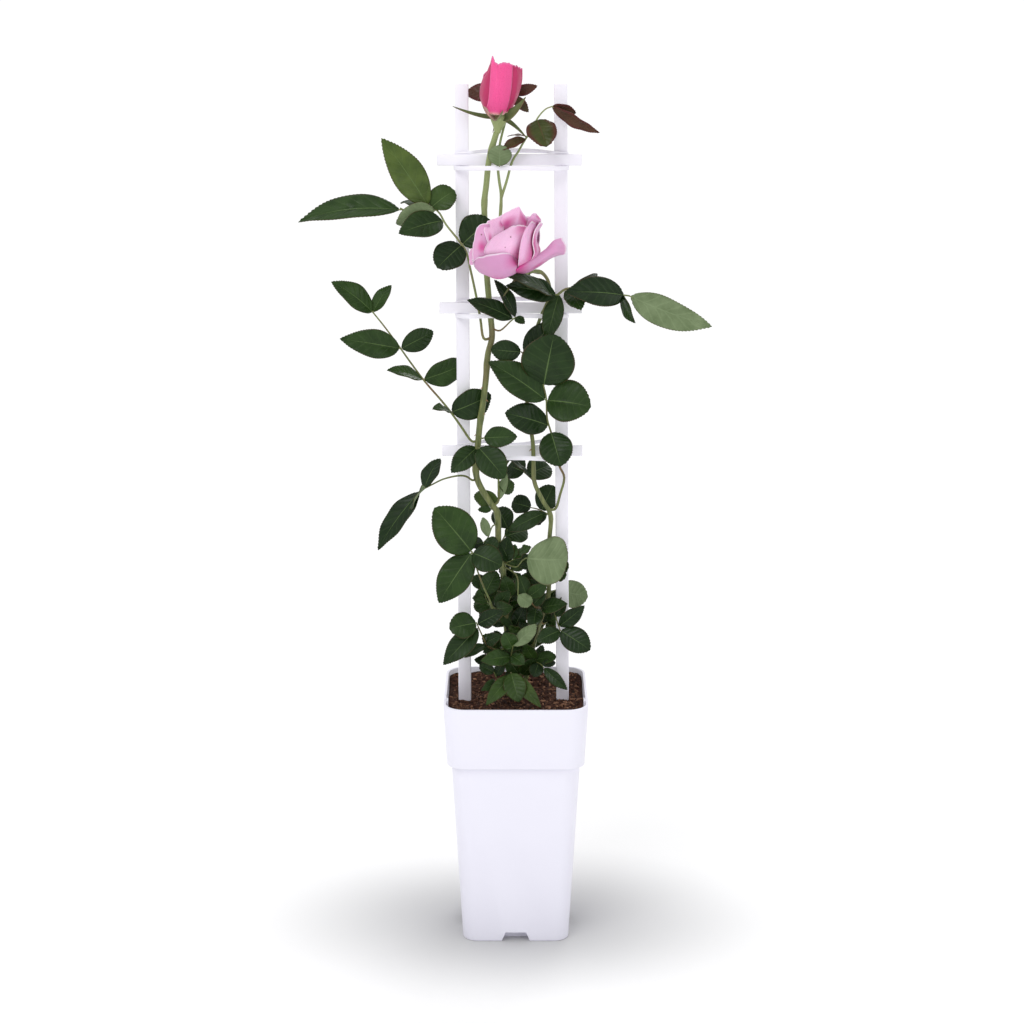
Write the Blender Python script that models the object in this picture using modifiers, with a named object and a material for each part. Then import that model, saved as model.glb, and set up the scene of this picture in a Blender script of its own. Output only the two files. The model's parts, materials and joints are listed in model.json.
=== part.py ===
"""Climbing rose on a white ladder trellis, in a tall square pot. Metres; +Z is up, -Y is the front."""

import math

import bmesh
import bpy
import numpy as np
from mathutils import Matrix, Vector

MM = 0.001
GAP = 0.3 * MM  # clearance between pieces that touch

# Pot: outer widths and heights of a tall square rose pot
POT_HEIGHT = 250 * MM
RIM_WIDTH = 142 * MM
COLLAR_LOW_WIDTH = 135.6 * MM
COLLAR_LOW = 187.5 * MM
BODY_TOP_WIDTH = 126.7 * MM
FOOT_WIDTH = 106.4 * MM
POT_CORNER = 14.5 * MM
POT_WALL = 2.0 * MM
POT_FLOOR = 2.5 * MM
NOTCH_WIDTH = 29.5 * MM
NOTCH_TOP_WIDTH = 20.5 * MM
NOTCH_HEIGHT = 9.7 * MM
NOTCH_DEPTH = 12 * MM

# Soil, filled to 12 mm under the rim
SOIL_TOP = 238 * MM
SOIL_RELIEF = 1.6 * MM
BURIED_TO = 150 * MM  # height of the lower ends of what stands in the soil

# Ladder trellis
UPRIGHT_WIDTH = 12.6 * MM
UPRIGHT_DEPTH = 5 * MM
UPRIGHT_TOP = 843 * MM
LEFT_UPRIGHT_X = -51 * MM
RIGHT_UPRIGHT_LOW_X = 46.9 * MM
RIGHT_UPRIGHT_TOP_X = 41.7 * MM
SLAT_LENGTH = 136.5 * MM
SLAT_HEIGHT = 10.6 * MM
SLAT_DEPTH = 4 * MM
GUIDE_THICKNESS = 1.4 * MM
GUIDE_HEIGHT = 4.2 * MM
GUIDE_REACH = 54 * MM  # half the length of a stem guide
FRONT_BOW = 17 * MM
BACK_BOW = 14 * MM
# name, height of the slat's middle, its x, rise of the front guide's middle, sink of the back guide's middle
RUNGS = (
    ("top", 773 * MM, -6.3 * MM, 1.0 * MM, 0.0 * MM),
    ("middle", 633 * MM, -5.0 * MM, 2.2 * MM, 1.0 * MM),
    ("low", 493.5 * MM, -3.5 * MM, 3.4 * MM, 5.0 * MM),
)

# Foliage
BLADE = 0.8 * MM  # thickness of a leaf
PETAL = 0.9 * MM
FACING = Vector((0.0, -0.88, 0.47))  # the way the upper side of an unrolled leaflet looks

WHITE_PLASTIC = ("white_plastic", (0.83, 0.81, 0.88), 0.35)
TRELLIS_WHITE = ("trellis_white", (0.82, 0.80, 0.87), 0.40)
SOIL_BROWN = ("soil_brown", (0.07, 0.035, 0.022), 0.95)
STEM_GREEN = ("stem_green", (0.20, 0.31, 0.09), 0.50)
LEAF_GREEN = ("leaf_green", (0.035, 0.10, 0.025), 0.35)
YOUNG_LEAF = ("young_leaf", (0.12, 0.035, 0.035), 0.35)
ORCHID_PINK = ("orchid_pink", (0.75, 0.32, 0.62), 0.55)
HOT_PINK = ("hot_pink", (0.80, 0.07, 0.29), 0.50)


def points_mm(points):
    return [Vector(p) * MM for p in points]


def clear_scene():
    for obj in list(bpy.data.objects):
        bpy.data.objects.remove(obj)


def new_collection(name):
    collection = bpy.data.collections.new(name)
    bpy.context.scene.collection.children.link(collection)
    return collection


def material(look):
    name, colour, roughness = look
    found = bpy.data.materials.get(name)
    if found:
        return found
    made = bpy.data.materials.new(name)
    made.use_nodes = True
    shader = made.node_tree.nodes["Principled BSDF"]
    shader.inputs["Base Color"].default_value = (*colour, 1)
    shader.inputs["Roughness"].default_value = roughness
    shader.inputs["Metallic"].default_value = 0.0
    return made


def object_of(name, mesh, look, collection):
    obj = bpy.data.objects.new(name, mesh)
    mesh.materials.clear()
    mesh.materials.append(material(look))
    collection.objects.link(obj)
    return obj


def object_from_bmesh(name, bm, look, collection):
    mesh = bpy.data.meshes.new(name)
    bm.to_mesh(mesh)
    bm.free()
    return object_of(name, mesh, look, collection)


def apply_modifiers(obj):
    """Replaces the object's mesh with what its modifiers make of it."""
    graph = bpy.context.evaluated_depsgraph_get()
    mesh = bpy.data.meshes.new_from_object(obj.evaluated_get(graph))
    obj.modifiers.clear()
    obj.data = mesh


def combine(obj, pieces, operation="UNION"):
    """Joins the pieces to the object, or cuts them from it, and removes them."""
    helpers = new_collection("helpers")
    for piece in pieces:
        for holder in list(piece.users_collection):
            holder.objects.unlink(piece)
        helpers.objects.link(piece)
    modifier = obj.modifiers.new("combine", "BOOLEAN")
    modifier.operation = operation
    modifier.operand_type = "COLLECTION"
    modifier.collection = helpers
    modifier.solver = "EXACT"
    apply_modifiers(obj)
    keep_outer_body(obj)
    for piece in pieces:
        bpy.data.objects.remove(piece)
    bpy.data.collections.remove(helpers)
    return obj


def keep_outer_body(obj):
    """Drops loose scraps, and the shells of hollows that the joining sealed."""
    bm = bmesh.new()
    bm.from_mesh(obj.data)
    islands = []
    left = set(bm.verts)
    while left:
        island = set()
        edge = {left.pop()}
        while edge:
            island |= edge
            edge = {e.other_vert(v) for v in edge for e in v.link_edges} - island
        left -= island
        islands.append(island)
    largest = max(islands, key=lambda island: diagonal(island))
    loose = [v for island in islands if island is not largest for v in island]
    bmesh.ops.delete(bm, geom=loose, context="VERTS")
    bm.to_mesh(obj.data)
    bm.free()


def diagonal(vertices):
    """The diagonal of the box round some vertices."""
    places = np.array([v.co[:] for v in vertices])
    return np.linalg.norm(places.max(axis=0) - places.min(axis=0))


def solid_sheet(bm, name, thickness, look, collection):
    """A thin solid from an open surface, split into triangles first so that both faces are alike."""
    bmesh.ops.triangulate(bm, faces=bm.faces)
    obj = object_from_bmesh(name, bm, look, collection)
    wall = obj.modifiers.new("wall", "SOLIDIFY")
    wall.thickness = thickness
    wall.offset = 0
    apply_modifiers(obj)
    return obj


def sheet_surface(columns, rows, place):
    """A grid of columns x rows cells laid out by place(u, v), with u from -1 to 1 and v from 0 to 1."""
    bm = bmesh.new()
    bmesh.ops.create_grid(bm, x_segments=columns, y_segments=rows, size=1)
    for vertex in bm.verts:
        vertex.co = place(vertex.co.x, (vertex.co.y + 1) / 2)
    bmesh.ops.remove_doubles(bm, verts=bm.verts, dist=0.02 * MM)
    bmesh.ops.dissolve_degenerate(bm, edges=bm.edges, dist=0.01 * MM)
    return bm


def tube(name, points, radii, look, collection, bevel_resolution=1):
    """A closed tube through the points, made a mesh."""
    curve = bpy.data.curves.new(name, "CURVE")
    curve.dimensions = "3D"
    curve.bevel_depth = 1
    curve.bevel_resolution = bevel_resolution
    curve.use_fill_caps = True
    spline = curve.splines.new("POLY")
    spline.points.add(len(points) - 1)
    for corner, point, radius in zip(spline.points, points, radii):
        corner.co = (*point, 1)
        corner.radius = radius
    guide = bpy.data.objects.new(name, curve)
    collection.objects.link(guide)
    bpy.context.view_layer.update()
    graph = bpy.context.evaluated_depsgraph_get()
    mesh = bpy.data.meshes.new_from_object(guide.evaluated_get(graph))
    bpy.data.objects.remove(guide)
    bm = bmesh.new()
    bm.from_mesh(mesh)
    bmesh.ops.remove_doubles(bm, verts=bm.verts, dist=0.01 * MM)
    bmesh.ops.recalc_face_normals(bm, faces=bm.faces)
    return object_from_bmesh(name, bm, look, collection)


def box(name, size, centre, look, collection, bevel=0.0):
    bm = bmesh.new()
    bmesh.ops.create_cube(bm, size=1)
    bmesh.ops.scale(bm, vec=size, verts=bm.verts)
    bmesh.ops.translate(bm, vec=centre, verts=bm.verts)
    if bevel:
        bmesh.ops.bevel(bm, geom=bm.edges, offset=bevel, affect="EDGES", segments=1, profile=0.5, material=-1)
    return object_from_bmesh(name, bm, look, collection)


def square_ring(half, corner, z, corner_steps, side_steps):
    """Points of a square with round corners, seen from above, anticlockwise."""
    ring = []
    for turn in range(4):
        middle = Vector((half - corner, half - corner))
        spin = Matrix.Rotation(turn * math.pi / 2, 2)
        for step in range(corner_steps + 1):
            angle = math.pi / 2 * step / corner_steps
            ring.append(spin @ (middle + corner * Vector((math.cos(angle), math.sin(angle)))))
        for step in range(1, side_steps):
            along = 1 - 2 * step / side_steps
            ring.append(spin @ Vector((along * (half - corner), half)))
    return [Vector((p.x, p.y, z)) for p in ring]


def loft(name, rings, look, collection):
    """A closed solid through rings of equal count, with flat ends."""
    bm = bmesh.new()
    levels = [[bm.verts.new(p) for p in ring] for ring in rings]
    for low, high in zip(levels, levels[1:]):
        for i in range(len(low)):
            j = (i + 1) % len(low)
            bm.faces.new((low[i], low[j], high[j], high[i]))
    bm.faces.new(list(reversed(levels[0])))
    bm.faces.new(levels[-1])
    return object_from_bmesh(name, bm, look, collection)


def pot_half_width(z):
    """Half the outer width of the pot's body or collar at a height."""
    if z < COLLAR_LOW:
        low, high, share = FOOT_WIDTH, BODY_TOP_WIDTH, z / COLLAR_LOW
    else:
        low, high, share = COLLAR_LOW_WIDTH, RIM_WIDTH, (z - COLLAR_LOW) / (POT_HEIGHT - COLLAR_LOW)
    return (low + (high - low) * share) / 2


def inner_rings(clearance, top, side_steps, corner_steps):
    """Rings of the pot's hollow, drawn in by the clearance, up to a height."""
    inset = POT_WALL + clearance
    shoulder = COLLAR_LOW + 2.5 * MM
    levels = (
        (POT_FLOOR + clearance, pot_half_width(0) - inset),
        (COLLAR_LOW + 0.5 * MM + clearance, BODY_TOP_WIDTH / 2 - inset),
        (shoulder + clearance, pot_half_width(shoulder) - inset),
        (top, pot_half_width(top) - inset),
    )
    return [square_ring(half, POT_CORNER - inset, z, corner_steps, side_steps) for z, half in levels]


def notch_block(name, grow, depth, collection):
    """The wedge of a drain notch at the front of the foot, grown on its sides, top and back."""
    start = -pot_half_width(0) - 5 * MM
    end = -pot_half_width(0) + depth + grow
    base = -5 * MM if not grow else 1 * MM
    return notch_wedge(name, start, end, base, grow, collection)


def notch_wedge(name, start, end, base, grow, collection):
    """The notch's trapezoid section, drawn from one y to another and grown all round."""
    low, high, top = NOTCH_WIDTH / 2 + grow, NOTCH_TOP_WIDTH / 2 + grow, NOTCH_HEIGHT + grow
    section = ((-high, top), (high, top), (low, base), (-low, base))
    rings = [[Vector((x, y, z)) for x, z in section] for y in (start, end)]
    return loft(name, rings, WHITE_PLASTIC, collection)


def four_sides(make):
    """The same helper on each of the pot's four sides."""
    made = []
    for turn in range(4):
        obj = make()
        obj.data.transform(Matrix.Rotation(turn * math.pi / 2, 4, "Z"))
        made.append(obj)
    return made


def make_pot(collection):
    steps = 4
    collar_edge = 1.5 * MM
    shape = (
        (0, pot_half_width(0) - 1.2 * MM),
        (1.2 * MM, pot_half_width(0)),
        (COLLAR_LOW, pot_half_width(COLLAR_LOW - 1e-6)),
        (COLLAR_LOW + 0.01 * MM, pot_half_width(COLLAR_LOW) - collar_edge),
        (COLLAR_LOW + collar_edge, pot_half_width(COLLAR_LOW)),
        (POT_HEIGHT - 1 * MM, pot_half_width(POT_HEIGHT)),
        (POT_HEIGHT, pot_half_width(POT_HEIGHT) - 0.7 * MM),
    )
    pot = loft(
        "pot", [square_ring(half, POT_CORNER, z, steps, 1) for z, half in shape], WHITE_PLASTIC, collection
    )
    hollow = loft("hollow", inner_rings(0, POT_HEIGHT + 2 * MM, 1, steps), WHITE_PLASTIC, collection)
    combine(pot, [hollow], "DIFFERENCE")
    inside = NOTCH_DEPTH + POT_WALL
    humps = four_sides(lambda: inner_hump(inside, collection))
    tabs = [
        box(
            "tab",
            (2.4 * MM, 11 * MM, 9 * MM),
            (side * (pot_half_width(POT_HEIGHT) - POT_WALL - 1 * MM), -34 * MM, POT_HEIGHT - 5.3 * MM),
            WHITE_PLASTIC,
            collection,
        )
        for side in (-1, 1)
    ]
    combine(pot, humps + tabs)
    notches = four_sides(lambda: notch_block("notch", 0, NOTCH_DEPTH, collection))
    drains = four_sides(
        lambda: box(
            "drain",
            (10 * MM, 8 * MM, 4.5 * MM),
            (0, -pot_half_width(0) + inside, 5.5 * MM),
            WHITE_PLASTIC,
            collection,
        )
    )
    combine(pot, notches + drains, "DIFFERENCE")
    return pot


def inner_hump(inside, collection):
    """The raised housing inside the pot over one drain notch."""
    start, end = -pot_half_width(0) + POT_WALL / 2, -pot_half_width(0) + inside
    return notch_wedge("hump", start, end, 1 * MM, POT_WALL, collection)


def crumb(x, y):
    """Height of the soil's crumbs at a place: three waves that don't line up."""
    waves = math.sin(x * 310 + 1.3) * math.cos(y * 270 - 0.4)
    waves += math.sin((x + y) * 520) + math.cos((x - 2 * y) * 430)
    return SOIL_RELIEF * waves / 3


def make_soil(collection, upright_holes, stem_holes):
    rings = inner_rings(GAP + 0.1 * MM, SOIL_TOP, 4, 3)
    top_half = pot_half_width(SOIL_TOP) - POT_WALL - GAP - 0.1 * MM
    for share in (0.93, 0.78, 0.6, 0.42, 0.24, 0.08):
        ring = square_ring(top_half * share, POT_CORNER * share * 0.9, SOIL_TOP, 3, 4)
        rings.append([Vector((p.x, p.y, p.z + crumb(p.x, p.y))) for p in ring])
    soil = loft("soil", rings, SOIL_BROWN, collection)
    clear = NOTCH_DEPTH + POT_WALL + 0.5 * MM
    humps = four_sides(lambda: notch_block("hump_room", POT_WALL + 0.5 * MM, clear - POT_WALL, collection))
    combine(soil, humps + upright_holes + stem_holes, "DIFFERENCE")
    return soil


def make_trellis(collection, cutters):
    """Uprights with their feet in the soil, slats across the front, and two bowed guides at each slat."""
    holes = []
    low = BURIED_TO - 30 * MM
    lean = (RIGHT_UPRIGHT_TOP_X - RIGHT_UPRIGHT_LOW_X) / (UPRIGHT_TOP - SOIL_TOP)
    for name, x, slope in (
        ("upright_left", LEFT_UPRIGHT_X, 0.0),
        ("upright_right", RIGHT_UPRIGHT_LOW_X, lean),
    ):
        shear = Matrix.Identity(4)
        shear[0][2] = slope
        shear[0][3] = x - slope * SOIL_TOP
        for grow, label, where in ((0, name, collection), (0.35 * MM, name + "_hole", cutters)):
            size = (UPRIGHT_WIDTH + 2 * grow, UPRIGHT_DEPTH + 2 * grow, UPRIGHT_TOP - low + 2 * grow)
            middle, edge = (0, 0, (UPRIGHT_TOP + low) / 2), 0 if grow else 0.6 * MM
            obj = box(label, size, middle, TRELLIS_WHITE, where, edge)
            obj.data.transform(shear)
            if grow:
                holes.append(obj)
    front = -UPRIGHT_DEPTH / 2 - GAP
    for name, z, x, rise, sink in RUNGS:
        box(
            "slat_" + name,
            (SLAT_LENGTH, SLAT_DEPTH, SLAT_HEIGHT),
            (x, front - SLAT_DEPTH / 2, z),
            TRELLIS_WHITE,
            collection,
            0.5 * MM,
        )
        middle = (LEFT_UPRIGHT_X + RIGHT_UPRIGHT_LOW_X + lean * (z - SOIL_TOP)) / 2

        def front_guide(u, v):
            swell = 1 - u**6
            level = z - SLAT_HEIGHT / 2 - GAP - GUIDE_HEIGHT * (1 - v) + rise * (1 - u * u)
            return Vector((middle + u * GUIDE_REACH, front - GUIDE_THICKNESS / 2 - FRONT_BOW * swell, level))

        def back_guide(u, v):
            swell = 1 - u**2
            height = GUIDE_HEIGHT * (0.3 + 0.7 * swell)
            level = z + SLAT_HEIGHT / 2 + GAP + v * height - sink * max(0, 1 - (u / 0.5) ** 2)
            depth = front - SLAT_DEPTH / 2 + BACK_BOW * max(0, 1 - (u / 0.66) ** 4)
            return Vector((middle + u * GUIDE_REACH, depth, level))

        for label, place in (("guide_front_", front_guide), ("guide_back_", back_guide)):
            solid_sheet(sheet_surface(10, 1, place), label + name, GUIDE_THICKNESS, TRELLIS_WHITE, collection)
    return holes


# Canes and shoots: route points in millimetres, radius at each end, and the points where prickles stand
CANES = {
    "cane_left": (
        [(-2, 12, 120), (-2, 12, 237), (-8, 13, 296), (-11, 9, 339), (-13, 4, 375), (-17, 0, 396),
         (-18, -5, 429), (-24, -9, 441), (-32, -11, 454), (-38, -12, 468), (-39, -13, 484), (-37, -14, 499),
         (-35, -14, 520), (-32, -14, 540), (-29, -13, 564), (-27, -11, 588), (-23, -10, 605), (-24, -13, 624),
         (-26, -13, 645), (-28, -8, 669), (-29, -5, 698), (-30, -6, 731), (-28, -9, 750), (-26, -13, 769),
         (-23, -13, 783), (-18.3, -13, 798.6)],
        3.2, 1.9,
        [((-14, 2, 382), (1, -0.5, 0.1)), ((-30, -14, 558), (-1, -0.3, 0)), ((-31, -14, 546), (1, -0.4, 0)),
         ((-33, -14, 533), (0.8, -0.6, 0)), ((-36, -14, 512), (-1, -0.2, 0))],
    ),
    "cane_right": (
        [(9, 14, 120), (9, 14, 239), (11, 15, 258), (15, 15, 279), (21, 12, 304), (27, 8, 326), (32, 5, 342),
         (33, 0, 372), (33, -4, 403), (34, -8, 429), (26, -10, 445), (18, -12, 464), (17, -13, 488),
         (16, -13, 506), (12, -10, 530), (10, -8, 559), (13, -9, 588), (21, -13, 618), (29, -14, 637),
         (32, -20, 650), (30, -27, 662), (24, -32, 670), (17, -37, 672), (12.2, -39, 670.6)],
        2.9, 1.6,
        [((24, 10, 315), (1, -0.4, 0.2)), ((17, -13, 497), (-1, -0.3, 0))],
    ),
}

# The thin shoot that leaves the left cane behind the bloom and forks
SHOOT_TOP_LEFT = [(-26, -6, 684), (-22, -2, 693), (-16, -3, 712), (-14, -8, 738), (-16, -11, 755),
                  (-17, -13, 769), (-15, -12, 789), (-9, -5, 812), (-6, 2, 826)]
SHOOT_TOP_RIGHT = [(-14, -8, 738), (-9, -11, 753), (-4, -13, 771), (2, -13, 781)]
SHOOT_RADIUS = 1.7 * MM


def cane_radius(name, point):
    """The cane's radius beside a point, thinning evenly along its route."""
    route, low, high, _ = CANES[name]
    share = nearest_on(points_mm(route), point)[1]
    return (low + (high - low) * share) * MM


def nearest_on(route, point):
    """The nearest point of a route, and how far along the route it lies, from 0 to 1."""
    lengths = [(b - a).length for a, b in zip(route, route[1:])]
    best = None
    passed = 0
    for a, b, length in zip(route, route[1:], lengths):
        share = max(0, min(1, (point - a).dot(b - a) / length**2))
        spot = a.lerp(b, share)
        distance = (point - spot).length
        if best is None or distance < best[0]:
            best = (distance, spot, (passed + share * length) / sum(lengths))
        passed += length
    return best[1], best[2]


def along(route, share):
    """The point a share of the way along a route."""
    lengths = [(b - a).length for a, b in zip(route, route[1:])]
    left = share * sum(lengths)
    for a, b, length in zip(route, route[1:], lengths):
        if left <= length:
            return a.lerp(b, left / length)
        left -= length
    return route[-1].copy()


def prickle(root, direction, collection):
    """A small hooked thorn, sunk into its cane."""
    bm = bmesh.new()
    bmesh.ops.create_cone(bm, cap_ends=True, segments=4, radius1=1.5 * MM, radius2=0.2 * MM, depth=6 * MM)
    turn = Vector(direction).to_track_quat("Z", "Y").to_matrix().to_4x4()
    bm.transform(Matrix.Translation(Vector(root) * MM) @ turn @ Matrix.Translation((0, 0, 2.6 * MM)))
    return object_from_bmesh("prickle", bm, STEM_GREEN, collection)


def make_canes(collection, cutters):
    holes = []
    for name, (route, low, high, thorns) in CANES.items():
        points = points_mm(route)
        radii = [cane_radius(name, p) for p in points]
        cane = tube(name, points, radii, STEM_GREEN, collection)
        combine(cane, [prickle(root, direction, collection) for root, direction in thorns])
        bm = bmesh.new()
        depth = SOIL_TOP - points[0].z + 12 * MM
        radius = (low * MM + 0.3 * MM) / math.cos(math.pi / 8)
        bmesh.ops.create_cone(bm, cap_ends=True, segments=8, radius1=radius, radius2=radius, depth=depth)
        middle = points[0] + Vector((0, 0, depth / 2 - 0.4 * MM))
        bmesh.ops.translate(bm, vec=middle, verts=bm.verts)
        holes.append(object_from_bmesh(name + "_hole", bm, SOIL_BROWN, cutters))
    left, right = points_mm(SHOOT_TOP_LEFT), points_mm(SHOOT_TOP_RIGHT)
    left[0] = seat("cane_left", left[1], SHOOT_RADIUS)
    shoot = tube("shoot_top", left, [SHOOT_RADIUS] * (len(left) - 1) + [0.9 * MM], STEM_GREEN, collection)
    branch = tube("branch", right, [1.4 * MM] * 3 + [1.1 * MM], STEM_GREEN, collection)
    combine(shoot, [branch])
    return holes


def seat(carrier, towards, radius):
    """The start of a stem on the carrier's surface, a small gap clear of it."""
    if carrier == "shoot_top":
        routes = [points_mm(SHOOT_TOP_LEFT), points_mm(SHOOT_TOP_RIGHT)]
        ends = [nearest_on(route, towards) for route in routes]
        spot, share = min(ends, key=lambda found: (found[0] - towards).length)
        reach = SHOOT_RADIUS
    else:
        spot, share = nearest_on(points_mm(CANES[carrier][0]), towards)
        reach = cane_radius(carrier, spot)
    if share > 0.999:
        reach = 0
    return spot + (towards - spot).normalized() * (reach + GAP + 0.1 * MM)


def blade_frame(base, tip, roll):
    """The blade's own axes: along it, across it, and out of its upper side."""
    forward = (tip - base).normalized()
    up = (FACING - FACING.dot(forward) * forward).normalized()
    up.rotate(Matrix.Rotation(math.radians(roll), 3, forward))
    return forward, up.cross(forward).normalized(), up


def leaflet(base, tip, width, roll, look, collection):
    """One toothed, folded and arched leaflet on its own short stalk."""
    length = (tip - base).length
    forward, across, up = blade_frame(base, tip, roll)
    middle_rows = 2 if length < 18 * MM else 3 if length < 34 * MM else 4 if length < 50 * MM else 5
    shares = [0] + [(row + 0.55) / (middle_rows + 0.4) for row in range(middle_rows)] + [1]

    def place(u, v):
        row = round(v * (len(shares) - 1))
        share = shares[row]
        half = 0.6 * MM
        if row == len(shares) - 1:
            half = 0.0
        elif row > 0:
            tooth = 1.15 if row % 2 == 0 else 1.04
            half = tooth * width / 2 * math.sin(math.pi * share**0.85) ** 0.7
        lean = 0.035 * length * abs(u) * (row % 2 == 0) * (0 < row < len(shares) - 1)
        arch = 0.24 * length * share * (1 - share)
        fold = 0.18 * abs(u) * half
        return base + forward * (share * length + lean) + across * (u * half) + up * (arch + fold)

    return solid_sheet(sheet_surface(2, len(shares) - 1, place), "leaflet", BLADE, look, collection)


def leaf(name, carrier, radius, stalk, leaflets, collection, look=LEAF_GREEN):
    """A compound leaf: its stalk, seated on the carrier, with the leaflets fused to it."""
    route = points_mm(stalk)
    thick = radius * MM
    route[0] = seat(carrier, route[1], thick)
    radii = [thick * (1 - 0.35 * i / (len(route) - 1)) for i in range(len(route))]
    body = tube(name, route, radii, look, collection, bevel_resolution=0)
    blades = []
    for share, tip, width, roll in leaflets:
        base = along(route, min(share, 0.985))
        blades.append(leaflet(base, Vector(tip) * MM, width * MM, roll, look, collection))
    return combine(body, blades)


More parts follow.
